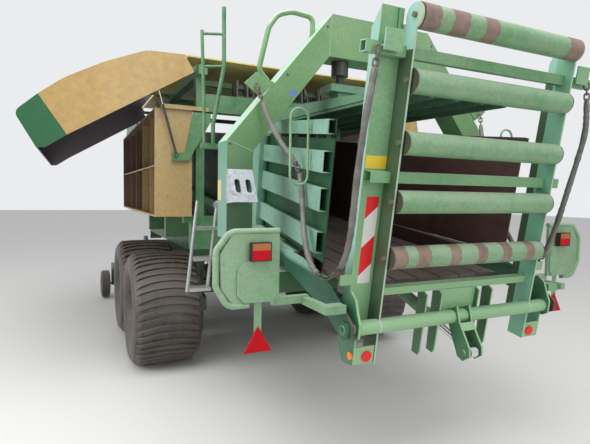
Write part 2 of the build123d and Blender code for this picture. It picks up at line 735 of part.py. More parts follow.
# Side hoods: hollow pressed shells hinged along the roof edge
HOOD_SKIN = [
    (1123, 2868), (1436, 2861), (1751, 2729), (2047, 2569), (2226, 2429), (2386, 2282), (2244, 2028)
]
HOOD_BENDS = [300, 700, 700, 600, 60]
HOOD_EDGE = [(2182, 2030), (2032, 2135), (1045, 2732)]


def inset(points, depth):
    """A line moved to its right by a depth, its corners kept sharp."""
    moved = []
    ways = [(Vector(*b) - Vector(*a)).normalized() for a, b in zip(points, points[1:])]
    for i, point in enumerate(points):
        first, second = ways[max(i - 1, 0)], ways[min(i, len(ways) - 1)]
        middle = Vector(first.Y + second.Y, -first.X - second.X)
        moved.append(Vector(*point) + middle * (2 * depth / middle.dot(middle)))
    return [(p.X, p.Y) for p in moved]


def bent_sheet(outer, bends, thick, rest=None):
    """The outline of a sheet bent along a line, or with more corners given, of a panel that the line bounds."""
    line = FilletPolyline(*[Vector(x, 0, z) for x, z in outer], radius=bends)
    if rest:
        corners = [outer[-1]] + rest + [outer[0]]
        return make_face(line.edges() + Polyline(*[Vector(x, 0, z) for x, z in corners]).edges())
    back = inset(outer, thick)
    inner = FilletPolyline(*[Vector(x, 0, z) for x, z in back], radius=[r - thick for r in bends])
    ends = [
        Line(Vector(a[0], 0, a[1]), Vector(b[0], 0, b[1]))
        for a, b in ((outer[0], back[0]), (outer[-1], back[-1]))
    ]
    return make_face(line.edges() + inner.edges() + [e.edge() for e in ends])


hood_length = HOOD_Y[1] - HOOD_Y[0]
hood_skin = extrude(
    Pos(0, HOOD_Y[0], 0) * bent_sheet(HOOD_SKIN, HOOD_BENDS, HOOD_T), hood_length, dir=AXES["Y"]
)
hood_end = bent_sheet(HOOD_SKIN, HOOD_BENDS, HOOD_T, HOOD_EDGE)
hood_ends = [
    extrude(Pos(0, y, 0) * hood_end, HOOD_T, dir=AXES["Y"])
    for y in (HOOD_Y[0], HOOD_Y[1] - HOOD_T)
]
arm_side = [(1098, 2784), (1142, 2784), (1330, 2800), (1340, 2858), (1128, 2862), (1098, 2822)]
hood_arm = [prism("Y", y - 7, y + 7, arm_side) for y in EAR_Y]
STRUT_HEAD = (1341, 2581)
hood_pin = bar(
    (STRUT_HEAD[0], HOOD_Y[0] + 4, STRUT_HEAD[1]), (STRUT_HEAD[0], STRUT_Y - 13, STRUT_HEAD[1]), 9
)
open_hood = joined([hood_skin] + hood_ends + hood_arm + [hood_pin])
for y in EAR_Y:
    open_hood -= ring((HINGE_X, y, HINGE_Z), "Y", STRUT_PIN + FIT, 0, 40)
hinge_line = Axis((HINGE_X, 0, HINGE_Z), (0, 1, 0))
closed_hood = open_hood.rotate(hinge_line, HOOD_OPEN)
keep("left_hood", mirror(open_hood, Plane.YZ))
keep("right_hood", closed_hood)


# Hood struts: a tube hinged on the box bracket and a rod that ends at the hood
def strut(head):
    """Tube and rod of a hood strut whose rod ends at head."""
    foot = Vector(STRUT_FOOT[0], STRUT_Y, STRUT_FOOT[1])
    end = Vector(head[0], STRUT_Y, head[1])
    way = (end - foot).normalized()
    tube = bar(foot, foot + way * 440, 11) + ring(foot, "Y", 16, 0, 20)
    tube = tube - ring(foot, "Y", STRUT_PIN + FIT, 0, 30) - bar(
        foot + way * 60, foot + way * 445, 5 + FIT
    )
    rod = bar(end - way * 190, end, 5) + ring(end, "Y", 14, 0, 20)
    return tube, rod


closed_head = Vector(STRUT_HEAD[0] - HINGE_X, STRUT_HEAD[1] - HINGE_Z).rotate(Axis.Z, -HOOD_OPEN)
left_tube, left_rod = strut(STRUT_HEAD)
right_tube, right_rod = strut((HINGE_X + closed_head.X, HINGE_Z + closed_head.Y))
keep("left_strut_tube", mirror(left_tube, Plane.YZ))
keep("left_strut_rod", mirror(left_rod, Plane.YZ))
keep("right_strut_tube", right_tube)
keep("right_strut_rod", right_rod)

# Roof cover between the hoods, with edges turned down
ROOF_Y = (2400, 5200)
roof_half = [
    (1095, 2872), (1095, 2898), (600, 2896), (0, 2893), (0, 2881), (600, 2884), (1083, 2886),
    (1083, 2872),
]
roof_posts = [block((940, 970), (y, y + 40), (RAIL_Z[1] + GAP, 2886)) for y in (2600, 3700, 4800)]
keep("roof_cover", joined(both(prism("Y", ROOF_Y[0], ROOF_Y[1], roof_half)) + both(joined(roof_posts))))

# Knotter unit: a row of tying heads on a shaft, standing on the cross beam
HEADS = 6
HEAD_PITCH = 190
KNOT_AT = (2535, 2690)
knot_items = [bar((-620, *KNOT_AT), (620, *KNOT_AT), 20)]
for i in range(HEADS):
    x = (i - (HEADS - 1) / 2) * HEAD_PITCH
    head_frame = [(2450, 2600), (2514, 2600), (2566, 2662), (2566, 2735), (2500, 2768), (2462, 2720)]
    knot_items.append(block((x - 45, x + 45), (2450, 2515), (KNOT_Z[1] + GAP, 2606)))
    knot_items.append(prism("X", x - 40, x - 26, head_frame, radius=8))
    knot_items.append(ring((x + 6, *KNOT_AT), "X", 78, 0, 22))
    knot_items.append(ring((x - 14, *KNOT_AT), "X", 40, 0, 30))
    knot_items.append(block((x + 22, x + 34), (2458, 2482), (2600, 2668)))
    knot_items.append(bar((x + 28, 2470, 2660), (x + 4, 2560, 2648), 9))
knot_items += both(block((600, 616), (2452, 2590), (KNOT_Z[1] + GAP, 2745)))
knot_items.append(block((-616, 616), (2452, 2468), (KNOT_Z[1] + GAP, 2604)))
keep("knotter_unit", joined(knot_items))

# Ladder at the left rear, its handrails and the loop rail on the yoke
LADDER_Y = 1900
ladder_rails = [
    bar((-1111, LADDER_Y, 1640), (-1192, LADDER_Y, 921), 14),
    bar((-951, LADDER_Y, 1640), (-1032, LADDER_Y, 921), 14),
]
ladder_steps = [
    block(
        (-1180 + 30 * i, -1015 + 30 * i), (LADDER_Y - 60, LADDER_Y + 60), (930 + 240 * i, 955 + 240 * i)
    ) for i in range(3)
]
ladder_ties = [block((-975, -HALF - WALL_T - GAP), (LADDER_Y - 20, LADDER_Y + 20), (1590, 1630))]
keep("rear_ladder", joined(ladder_rails + ladder_steps + ladder_ties))
HAND_Y = 1600
hand_main = bent(
    [(-1073, HAND_Y, 2060), (-1073, HAND_Y, 2200), (-994, HAND_Y, 2620), (-997, HAND_Y, 3040)], 15,
    [120, 200],
)
hand_second = bent([(-1140, HAND_Y, 2060), (-1140, HAND_Y, 2330), (-1157, HAND_Y, 2853)], 12, [150])
hand_rungs = [bar((-1156, HAND_Y, z), (-996, HAND_Y, z + 20), 10) for z in (2600, 2830)]
hand_base = block((-1160, -960), (HAND_Y - 25, HAND_Y + 25), (2020, 2060))
hand_strut = block((-1060, -1010), (YOKE_Y[1] + GAP, HAND_Y - 25), (2020, 2050))
keep("handrails", joined([hand_main, hand_second, hand_base, hand_strut] + hand_rungs))
# Chain guides: closed loops of rod beside the roof flap
GUIDE_X = 828
GUIDE_Y = 668
GUIDE_Z = (1812, 2133)
GUIDE_R = 7
GUIDE_W = 56


def guide_end(z, way):
    """The round end of a chain guide, above or below a height."""
    x = (GUIDE_X - GUIDE_W, GUIDE_X + GUIDE_W)
    points = [
        (x[0], GUIDE_Y, z), (x[0], GUIDE_Y, z + way * 55), (x[1], GUIDE_Y, z + way * 55),
        (x[1], GUIDE_Y, z),
    ]
    return bent(points, GUIDE_R, 52)


beam_side = CHAMBER * Pos(HALF, POST_U[0], 0) * Rot(0, 0, SIDE_OPEN) * Pos(WALL_T + SIDE_RIB, -980, 860)
FOOT_X = beam_side.position.X + 1.5
guide_at = [(GUIDE_X + x, GUIDE_Y) for x in (-GUIDE_W, GUIDE_W)]
guide_legs = [bar((*at, GUIDE_Z[0]), (*at, GUIDE_Z[1]), GUIDE_R) for at in guide_at]
guide_foot = block((FOOT_X, GUIDE_X - GUIDE_W), (GUIDE_Y - 10, GUIDE_Y + 10), (2075, 2095))
guide = joined(guide_legs + [guide_end(GUIDE_Z[1], 1), guide_end(GUIDE_Z[0], -1), guide_foot])
keep("chain_guides", both(guide))

# Wheel chock hung on the left post
chock = prism(
    "X", -1139, -985,
    [(YOKE_Y[0], 1640), (YOKE_Y[0], 1850), (YOKE_Y[0] - 40, 1850), (YOKE_Y[0] - 150, 1650)],
)
chock -= prism(
    "X", -1129, -995,
    [
        (YOKE_Y[0] + 5, 1600), (YOKE_Y[0] + 5, 1838), (YOKE_Y[0] - 34, 1838), (YOKE_Y[0] - 140, 1655),
        (YOKE_Y[0] - 140, 1600),
    ],
)
for x in (-1097, -1027):
    slot = Pos(x, YOKE_Y[0] - 90, 1745) * Rot(61, 0, 0) * extrude(
        SlotOverall(95, 34, rotation=90), 60, both=True
    )
    chock -= slot
keep("wheel_chock", chock)

# Chute chains in sleeves: from the yoke's anchor plates down and up to the chute's upper crossbar
CHAIN_R = 18
CHAIN = [
    (951, 1032.6, 2385),
    (912, 985, 2205),
    (869, 885, 2040),
    (821, 801, 1928),
    (780, 770, 1863),
    (773, 738, 1744),
    (782, 705, 1624),
    (803, 643, 1503),
    (818, 576, 1393),
    (816, 520, 1308),
    (805, 440, 1262),
    (787, 360, 1264),
    (765, 292, 1318),
    (757, 238, 1420),
    (762, 195, 1555),
    (773, 155, 1722),
    (781, 110, 1900),
    (783, 60, 2090),
    (763, 46, 2226),
    (742, 41.4, 2377.7),
]


def chain(sign):
    points = [Vector(sign * x, y, z) for x, y, z in CHAIN]
    radii = []
    for before, here, after in zip(points, points[1:], points[2:]):
        first, second = here - before, after - here
        turn = math.radians(first.get_angle(second))
        radii.append(0.45 * min(first.length, second.length) / math.tan(turn / 2))
    path = FilletPolyline(*points, radius=radii)
    section = Plane(origin=points[0], z_dir=points[1] - points[0])
    return sweep(section * Circle(CHAIN_R), path=path)


keep("left_chain", chain(-1))
keep("right_chain", chain(1))

# Front body: plunger housing, gearbox, flywheel and its guard, side covers
HOUSE_X = 640
house = block((-HOUSE_X, HOUSE_X), HOUSE_Y, HOUSE_Z)
bonnet_side = [
    (HOUSE_Y[1] + GAP, 1830), (6880, 1830), (6896, 2100), (6700, 2560), (HOUSE_Y[1] + GAP, 2620)
]
keep("plunger_housing", house, prism("X", -HOUSE_X, HOUSE_X, bonnet_side))
FLY_Z = 1400
FLY_Y = (7050, 7170)
FLY_R = 430
SHAFT_R = 60
GEAR_Y = (HOUSE_Y[1] + GAP, 6900)
gear_case = block((-260, 260), GEAR_Y, (BEAM_Z[1] - 20 + GAP, 1800))
nose = ring((0, GEAR_Y[1] + 40, FLY_Z), "Y", 120, 0, 80)
keep(
    "gearbox",
    joined([gear_case, nose]) - bar(
        (0, GEAR_Y[1] - 60, FLY_Z), (0, GEAR_Y[1] + 90, FLY_Z), SHAFT_R + FIT
    ),
)
RIM_DEEP = 80
WEB_IN = 45
wheel_side = [
    (FLY_Y[0], 50), (FLY_Y[0], 110), (FLY_Y[0] + WEB_IN, 130), (FLY_Y[0] + WEB_IN, FLY_R - RIM_DEEP - 10)
]
wheel_side += [(FLY_Y[0], FLY_R - RIM_DEEP), (FLY_Y[0], FLY_R)]
other_side = [(sum(FLY_Y) - along, radius) for along, radius in reversed(wheel_side)]
outline = wheel_side + other_side
wheel = turned([[a, b] for a, b in zip(outline, outline[1:] + outline[:1])], (0, 0, FLY_Z), axis="Y")
PTO_R = 22.25
PTO_Y = (7420, 7520)
fly_shaft = bar((0, GEAR_Y[1] - 55, FLY_Z), (0, PTO_Y[0], FLY_Z), SHAFT_R)
keep("flywheel", joined([wheel, fly_shaft, bar((0, PTO_Y[0], FLY_Z), (0, PTO_Y[1], FLY_Z), PTO_R)]))
GUARD_Y = (GEAR_Y[1] + GAP, 7300)
guard_half = [(490, 1210), (490, 1640), (300, 1900)]
guard_outer = prism(
    "Y", GUARD_Y[0], GUARD_Y[1], guard_half + [(-x, z) for x, z in reversed(guard_half)], radius=40
)
inner_half = [(478, 900), (478, 1635), (294, 1888)]
guard_inner = prism(
    "Y", GUARD_Y[0] + 12, GUARD_Y[1] - 12, inner_half + [(-x, z) for x, z in reversed(inner_half)],
    radius=30,
)
guard = guard_outer - guard_inner - bar((0, GUARD_Y[0] - 10, FLY_Z), (0, GUARD_Y[1] + 10, FLY_Z), 125)
keep("flywheel_guard", guard)
COVER_Y = (HOOD_Y[1] + 15, 6700)
cover_side = [
    (COVER_Y[0], 1420), (6350, 1420), (COVER_Y[1], 1700), (COVER_Y[1], 2500), (6450, 2790),
    (COVER_Y[0], 2790),
]
cover = prism("X", 1150, 1170, cover_side, radius=90)
tie_y = (COVER_Y[0] + 160, HOUSE_Y[1] - 260)
cover_ties = [
    block((HOUSE_X + GAP, 1150), (y, y + 60), (z, z + 60))
    for y in tie_y for z in (1700, 2350)
]
keep("front_side_covers", both(joined([cover] + cover_ties)))
# Drawbar, tow eye and jack
DRAW_Y = (FRAME_Y[1] + GAP, EYE_Y - 500)
NECK_Y = EYE_Y - 70
draw_side = prism(
    "Z", 880, 1040, [(560, DRAW_Y[0]), (740, DRAW_Y[0]), (150, DRAW_Y[1]), (60, DRAW_Y[1])]
)
neck_top = [(DRAW_Y[1] - 90, 880), (DRAW_Y[1] - 90, 1040), (DRAW_Y[1] + 50, 1040), (NECK_Y, 640)]
neck = prism("X", -90, 90, neck_top + [(NECK_Y, 500), (NECK_Y - 100, 500), (NECK_Y - 400, 880)])
draw_cross = block((-600, 600), (DRAW_Y[0], DRAW_Y[0] + 100), (900, 1040))
JACK_Y = round(FRAME_Y[1] + (EYE_Y - FRAME_Y[1]) * 0.4857)
JACK_R = 46
sleeve = ring((0, JACK_Y, 960), "Z", 62, 0, 480)
sleeve_bridge = block((-280, 280), (JACK_Y - 40, JACK_Y + 40), (900, 1020))
drawbar = joined(both(draw_side) + [neck, draw_cross, sleeve, sleeve_bridge])
keep("drawbar", drawbar - bar((0, JACK_Y, 700), (0, JACK_Y, 1250), JACK_R + FIT))
EYE_R = 25
eye = ring((0, EYE_Y, EYE_Z), "Z", 62, 0, 36) + block(
    (-45, 45), (NECK_Y + GAP, EYE_Y), (EYE_Z - 18, EYE_Z + 18)
)
keep("tow_eye", eye - ring((0, EYE_Y, EYE_Z), "Z", EYE_R, 0, 50))
jack_leg = bar((0, JACK_Y, 20), (0, JACK_Y, 1205), JACK_R)
keep("jack_foot", jack_leg + block((-150, 150), (JACK_Y - 150, JACK_Y + 150), (0, 20)))

# Pickup: a frame with side plates, a tined reel and two gauge wheels
REEL_Y = 5780
REEL_Z = 420
REEL_L = 1960
LIFT_Y = 5350
LIFT_Z = 1000
PLATE_X = (REEL_L / 2 + 30, REEL_L / 2 + 46)
EAR_X = (PLATE_X[1] + 10, PLATE_X[1] + 30)
PIN_LIFT = 25
side_plate = prism(
    "X",
    PLATE_X[0],
    PLATE_X[1],
    [
        (LIFT_Y - 60, LIFT_Z - 70),
        (LIFT_Y - 60, LIFT_Z + 60),
        (LIFT_Y + 80, LIFT_Z + 60),
        (REEL_Y + 240, REEL_Z + 200),
        (REEL_Y + 200, REEL_Z - 100),
        (REEL_Y - 150, REEL_Z - 150),
    ],
    radius=40,
) - ring((PLATE_X[0], REEL_Y, REEL_Z), "X", 30 + FIT, 0, 60)
pick_tube = bar((-PLATE_X[0], LIFT_Y + 20, 860), (PLATE_X[0], LIFT_Y + 20, 860), 50)
roof_bar = block((-PLATE_X[0], PLATE_X[0]), (REEL_Y + 130, REEL_Y + 190), (REEL_Z + 190, REEL_Z + 240))
lift_pins = both(bar((PLATE_X[1], LIFT_Y, LIFT_Z), (EAR_X[1], LIFT_Y, LIFT_Z), PIN_LIFT))
GAUGE_X = 1530
GAUGE_Y = 6300
GAUGE_R = 210
GAUGE_Z = GAUGE_R + 12
gauge_parts = [
    block((PLATE_X[1], 1440), (5900, 5950), (500, 550)),
    block((1390, 1440), (5900, GAUGE_Y), (500, 550)),
    block((1390, 1440), (GAUGE_Y - 30, GAUGE_Y + 30), (GAUGE_Z - 25, 550)),
    bar((1440, GAUGE_Y, GAUGE_Z), (1600, GAUGE_Y, GAUGE_Z), 16),
]
gauge_arm = both(joined(gauge_parts))
keep("pickup_frame", joined(both(side_plate) + [pick_tube, roof_bar] + lift_pins + gauge_arm))
reel_core = bar((-REEL_L / 2, REEL_Y, REEL_Z), (REEL_L / 2, REEL_Y, REEL_Z), 120)
reel_shaft = bar((-PLATE_X[1], REEL_Y, REEL_Z), (PLATE_X[1], REEL_Y, REEL_Z), 30)
TINES = 17
tines = []
for i in range(TINES):
    x = (i - (TINES - 1) / 2) * (REEL_L - 60) / (TINES - 1)
    for turn in range(4):
        tine = Rot(90 * turn + 45 * (i % 2), 0, 0) * block((-5, 5), (-6, 6), (112, 190))
        tines.append(Pos(x, REEL_Y, REEL_Z) * tine)
keep("pickup_reel", joined([reel_core, reel_shaft] + tines))
for side, sign in SIDES.items():
    gauge = turned(
        [
            [(-60, 80), (-68, 150), (-50, GAUGE_R)],
            [(-50, GAUGE_R), (50, GAUGE_R)],
            [(50, GAUGE_R), (68, 150), (60, 80)],
            [(60, 80), (45, 16 + FIT)],
            [(45, 16 + FIT), (-45, 16 + FIT)],
            [(-45, 16 + FIT), (-60, 80)],
        ],
        (sign * GAUGE_X, GAUGE_Y, GAUGE_Z),
    )
    keep(f"{side}_gauge_wheel", gauge)
rotor = block((-PLATE_X[0], PLATE_X[0]), (4980, 5250), (700, BEAM_Z[0] - GAP))
ear_side = [(5120, 900), (LIFT_Y + 50, LIFT_Z - 60), (LIFT_Y + 50, LIFT_Z + 60), (5120, 1009)]
lift_ear = prism("X", EAR_X[0], EAR_X[1], ear_side) + block(
    (PLATE_X[0], EAR_X[0]), (5120, 5240), (900, 1009)
)
lift_ear -= ring((EAR_X[0] + 10, LIFT_Y, LIFT_Z), "X", PIN_LIFT + FIT, 0, 60)
keep("rotor_housing", joined([rotor] + both(lift_ear)))

os.makedirs("parts", exist_ok=True)
home = Pos(0, -EYE_Y, -EYE_Z)
for name, solids in PARTS.items():
    shapes = [home * s for s in solids]
    children = []
    for shape in shapes:
        children += shape.solids()
    export_step(Compound(children=children) if len(children) > 1 else children[0], f"parts/{name}.step")
print(len(PARTS), "nodes")
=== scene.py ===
import math

import bmesh
import bpy
from mathutils import Matrix, Vector


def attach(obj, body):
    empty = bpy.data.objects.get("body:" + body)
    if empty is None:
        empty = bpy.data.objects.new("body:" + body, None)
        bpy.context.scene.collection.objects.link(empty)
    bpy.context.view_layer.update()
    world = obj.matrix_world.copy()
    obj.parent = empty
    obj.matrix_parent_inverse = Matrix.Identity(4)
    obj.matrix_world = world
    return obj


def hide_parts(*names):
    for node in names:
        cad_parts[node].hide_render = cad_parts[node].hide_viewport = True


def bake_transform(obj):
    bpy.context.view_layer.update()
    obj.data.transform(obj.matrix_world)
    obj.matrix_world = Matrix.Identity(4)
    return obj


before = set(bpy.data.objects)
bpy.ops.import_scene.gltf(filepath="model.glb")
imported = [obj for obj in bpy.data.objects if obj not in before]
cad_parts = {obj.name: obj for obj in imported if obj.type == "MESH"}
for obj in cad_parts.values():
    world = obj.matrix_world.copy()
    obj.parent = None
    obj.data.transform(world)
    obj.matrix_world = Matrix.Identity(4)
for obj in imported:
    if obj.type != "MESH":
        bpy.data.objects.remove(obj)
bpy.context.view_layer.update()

# The floor the baler stands on and the light round it. The floor is plain pale paint, and the
# light is soft and even, from above, from the left and from behind the viewer.
EYE_Y = 8.650
FLOOR_Z = -0.560


def spot(x, y, z):
    """A point measured from the floor under the chute's top roller, in the part's frame."""
    return Vector((x, y - EYE_Y, z + FLOOR_Z))


def shader(name, roughness=0.5, metallic=0.0, coat=0.0):
    """A material with its Principled BSDF, ready for its own nodes."""
    material = bpy.data.materials.new(name)
    material.use_nodes = True
    bsdf = material.node_tree.nodes["Principled BSDF"]
    bsdf.inputs["Roughness"].default_value = roughness
    bsdf.inputs["Metallic"].default_value = metallic
    bsdf.inputs["Coat Weight"].default_value = coat
    return material, material.node_tree, bsdf


def node(tree, kind, **settings):
    """A shader node; names of its inputs give their values, the rest its own settings."""
    made = tree.nodes.new("ShaderNode" + kind)
    for key, value in settings.items():
        if hasattr(made, key):
            setattr(made, key, value)
        else:
            made.inputs[key.replace("_", " ")].default_value = value
    return made


def wire(tree, source, target):
    """Joins an output to an input."""
    tree.links.new(source, target)


floor_paint, tree, bsdf = shader("pale_floor", roughness=0.75)
bsdf.inputs["Base Color"].default_value = (0.72, 0.71, 0.69, 1)
bpy.ops.mesh.primitive_plane_add(size=80, location=(0, -4, FLOOR_Z))
floor = bpy.context.object
floor.name = "studio_floor"
floor.data.materials.append(floor_paint)

world = bpy.data.worlds.new("studio")
bpy.context.scene.world = world
world.use_nodes = True
sky = world.node_tree.nodes["Background"]
path = node(world.node_tree, "LightPath")
seen = node(world.node_tree, "Math", operation="MAXIMUM")
wire(world.node_tree, path.outputs["Is Camera Ray"], seen.inputs[0])
wire(world.node_tree, path.outputs["Is Glossy Ray"], seen.inputs[1])
glow = node(world.node_tree, "MapRange")
glow.inputs["To Min"].default_value = 0.62
glow.inputs["To Max"].default_value = 0.86
wire(world.node_tree, seen.outputs[0], glow.inputs["Value"])
wire(world.node_tree, glow.outputs[0], sky.inputs["Strength"])
sky.inputs["Color"].default_value = (0.96, 0.98, 1.0, 1)


def area_lamp(name, place, aim, size, power, colour=(1, 1, 1)):
    """A soft rectangular lamp that faces a point."""
    data = bpy.data.lights.new(name, "AREA")
    data.size = size
    data.energy = power
    data.color = colour
    lamp = bpy.data.objects.new(name, data)
    bpy.context.collection.objects.link(lamp)
    lamp.location = place
    lamp.rotation_euler = (Vector(aim) - Vector(place)).to_track_quat("-Z", "Y").to_euler()


area_lamp("overhead", spot(-1.5, -1.0, 7.5), spot(0, 1.5, 1.0), 6.0, 420)
area_lamp("left_windows", spot(-8.0, 1.0, 4.5), spot(0, 2.0, 1.2), 5.0, 330)
area_lamp("behind_the_viewer", spot(1.0, -7.5, 3.5), spot(0, 0.5, 1.3), 4.5, 150)

# The camera stands behind the left rear corner, 1.70 m over the floor. Its lens, place and turn
# were solved from the chute's long straight edges in the photograph.
EYE_POINT = spot(-2.0006, -1.7514, 1.700)
YAW, PITCH, ROLL = math.radians(25.490), math.radians(-3.357), math.radians(0.910)
ahead = Vector((math.sin(YAW) * math.cos(PITCH), math.cos(YAW) * math.cos(PITCH), math.sin(PITCH)))
level = Vector((math.cos(YAW), -math.sin(YAW), 0))
upward = level.cross(ahead)
right = level * math.cos(ROLL) + upward * math.sin(ROLL)
over = upward * math.cos(ROLL) - level * math.sin(ROLL)
camera = bpy.data.objects.new("camera", bpy.data.cameras.new("camera"))
bpy.context.collection.objects.link(camera)
camera.data.sensor_width = 36
camera.data.lens = 28.545
camera.data.clip_end = 200
camera.matrix_world = Matrix(
    (
        (right.x, over.x, -ahead.x, EYE_POINT.x),
        (right.y, over.y, -ahead.y, EYE_POINT.y),
        (right.z, over.z, -ahead.z, EYE_POINT.z),
        (0, 0, 0, 1),
    )
)
bpy.context.scene.camera = camera
bpy.context.scene.view_settings.view_transform = "Standard"

# Paint on the whole machine has faded in patches, carries hay dust on what faces up, and has
# grime in streaks. One node group gives that wear to every painted and bare steel finish.


def effect(name, inputs, outputs):
    """A shader node group with named inputs and outputs, and its two end nodes."""
    group = bpy.data.node_groups.new(name, "ShaderNodeTree")
    for label, kind, value in inputs:
        socket = group.interface.new_socket(label, in_out="INPUT", socket_type="NodeSocket" + kind)
        socket.default_value = value
    for label, kind in outputs:
        group.interface.new_socket(label, in_out="OUTPUT", socket_type="NodeSocket" + kind)
    return group, group.nodes.new("NodeGroupInput"), group.nodes.new("NodeGroupOutput")


def mixed(tree, mask, low, high, blend="MIX"):
    """A colour that goes from low to high with a mask. Each may be an output or a plain value."""
    mix = node(tree, "Mix", data_type="RGBA", blend_type=blend)
    if isinstance(mask, float):
        mix.inputs["Factor"].default_value = mask
    else:
        wire(tree, mask, mix.inputs["Factor"])
    for place, value in (("A", low), ("B", high)):
        socket = [s for s in mix.inputs if s.name == place and s.type == "RGBA"][0]
        if isinstance(value, (tuple, list)):
            socket.default_value = (*value, 1)
        else:
            wire(tree, value, socket)
    return [s for s in mix.outputs if s.type == "RGBA"][0]


def sloped(tree, value, start, end, low=0.0, high=1.0):
    """A value mapped from start..end to low..high, clamped."""
    ramp = node(tree, "MapRange")
    wire(tree, value, ramp.inputs["Value"])
    for label, number in (("From Min", start), ("From Max", end), ("To Min", low), ("To Max", high)):
        ramp.inputs[label].default_value = number
    return ramp.outputs[0]


def worked(tree, operation, first, second=None):
    """A Math node on outputs or numbers."""
    made = node(tree, "Math", operation=operation)
    for index, value in enumerate((first, second)):
        if isinstance(value, (int, float)):
            made.inputs[index].default_value = value
        elif value is not None:
            wire(tree, value, made.inputs[index])
    return made.outputs[0]


def split(tree, vector):
    """The X, Y and Z outputs of a vector."""
    apart = node(tree, "SeparateXYZ")
    wire(tree, vector, apart.inputs[0])
    return apart.outputs


wear, given, result = effect(
    "faded_and_dusty",
    [
        ("Paint", "Color", (0.05, 0.16, 0.07, 1)),
        ("Faded", "Color", (0.2, 0.33, 0.2, 1)),
        ("Dust", "Color", (0.42, 0.42, 0.36, 1)),
        ("Grime", "Color", (0.09, 0.07, 0.05, 1)),
        ("Fade", "Float", 0.3),
        ("Dusting", "Float", 0.4),
        ("Griming", "Float", 0.3),
        ("Grain", "Float", 1.0),
    ],
    [("Color", "Color"), ("Roughness", "Float"), ("Height", "Float")],
)
where = node(wear, "TexCoord")
scale = node(wear, "VectorMath", operation="SCALE")
wire(wear, where.outputs["Object"], scale.inputs[0])
wire(wear, given.outputs["Grain"], scale.inputs["Scale"])
broad = node(wear, "TexNoise", Scale=1.7, Detail=8.0, Roughness=0.62)
blotch = node(wear, "TexNoise", Scale=11.0, Detail=6.0, Roughness=0.7)
fine = node(wear, "TexNoise", Scale=70.0, Detail=4.0, Roughness=0.6)
for noise in (broad, blotch, fine):
    wire(wear, scale.outputs[0], noise.inputs["Vector"])
facing = split(wear, where.outputs["Normal"])
fade_mask = worked(wear, "MULTIPLY", sloped(wear, broad.outputs[0], 0.42, 0.62), given.outputs["Fade"])
lying = worked(
    wear, "ADD", sloped(wear, facing["Z"], 0.0, 0.9, 0.0, 0.75),
    sloped(wear, blotch.outputs[0], 0.35, 0.7, 0.0, 0.55),
)
dust_mask = worked(wear, "MULTIPLY", lying, given.outputs["Dusting"])
streak = worked(
    wear, "MULTIPLY", sloped(wear, blotch.outputs[0], 0.52, 0.66),
    sloped(wear, broad.outputs[0], 0.45, 0.6, 0.35, 1.0),
)
grime_mask = worked(wear, "MULTIPLY", streak, given.outputs["Griming"])
tone = mixed(wear, fade_mask, given.outputs["Paint"], given.outputs["Faded"])
tone = mixed(wear, dust_mask, tone, given.outputs["Dust"])
tone = mixed(wear, grime_mask, tone, given.outputs["Grime"])
speck = sloped(wear, fine.outputs[0], 0.3, 0.7, 0.86, 1.12)
wire(wear, mixed(wear, 1.0, tone, speck, blend="MULTIPLY"), result.inputs["Color"])
rough = worked(
    wear, "ADD", worked(wear, "MULTIPLY", dust_mask, 0.45), worked(wear, "MULTIPLY", grime_mask, 0.25)
)
wire(wear, worked(wear, "ADD", rough, 0.34), result.inputs["Roughness"])
bumps = worked(
    wear, "ADD", worked(wear, "MULTIPLY", fine.outputs[0], 0.35),
    worked(wear, "MULTIPLY", dust_mask, 0.4),
)
wire(wear, bumps, result.inputs["Height"])


def coat_of(tree, paint, faded, dust, grime, **amounts):
    """The wear group with its four colours, and its amounts where they aren't the usual ones."""
    coat = node(tree, "Group")
    coat.node_tree = wear
    for label, colour in zip(("Paint", "Faded", "Dust", "Grime"), (paint, faded, dust, grime)):
        coat.inputs[label].default_value = (*colour, 1)
    for label, amount in amounts.items():
        coat.inputs[label].default_value = amount
    return coat


def worn(
    name, paint, faded, dust=(0.42, 0.42, 0.36), grime=(0.09, 0.07, 0.05), fade=0.3, dusting=0.4,
    griming=0.3, grain=1.0, metallic=0.0, coat=0.0, bump=0.1,
):
    """A finish that takes the faded and dusty wear with its own colours and amounts."""
    material, tree, bsdf = shader(name, metallic=metallic, coat=coat)
    amounts = {"Fade": fade, "Dusting": dusting, "Griming": griming, "Grain": grain}
    group = coat_of(tree, paint, faded, dust, grime, **amounts)
    relief = node(tree, "Bump", Strength=bump, Distance=0.004)
    wire(tree, group.outputs["Height"], relief.inputs["Height"])
    wire(tree, relief.outputs[0], bsdf.inputs["Normal"])
    wire(tree, group.outputs["Color"], bsdf.inputs["Base Color"])
    wire(tree, group.outputs["Roughness"], bsdf.inputs["Roughness"])
    return material, tree, bsdf, group


def finish_nodes(material, *names):
    """Gives a finish to CAD nodes."""
    for name in names:
        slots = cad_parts[name].material_slots
        for item in slots:
            item.link = "OBJECT"
            item.material = material


# Painted frame and covers: sheet and box section in one machine green. The side frames and the front
# covers have faded in the sun, and the parts that lie low are a darker green, with more grime.
green_paint, *_ = worn(
    "machine_green", (0.030, 0.150, 0.048), (0.150, 0.300, 0.140), (0.300, 0.390, 0.270), fade=0.55,
    dusting=0.55, griming=0.35,
)
finish_nodes(green_paint, "body_frame", "handrails", "plunger_housing")
finish_nodes(green_paint, "flywheel_guard", "front_side_covers", "chute_cylinder_barrel")
dark_green, *_ = worn(
    "frame_green", (0.018, 0.075, 0.028), (0.06, 0.14, 0.07), (0.16, 0.17, 0.12), fade=0.5, dusting=0.5,
    griming=0.6,
)
finish_nodes(dark_green, "main_frame", "tandem_axle", "drawbar", "rotor_housing", "pickup_frame")

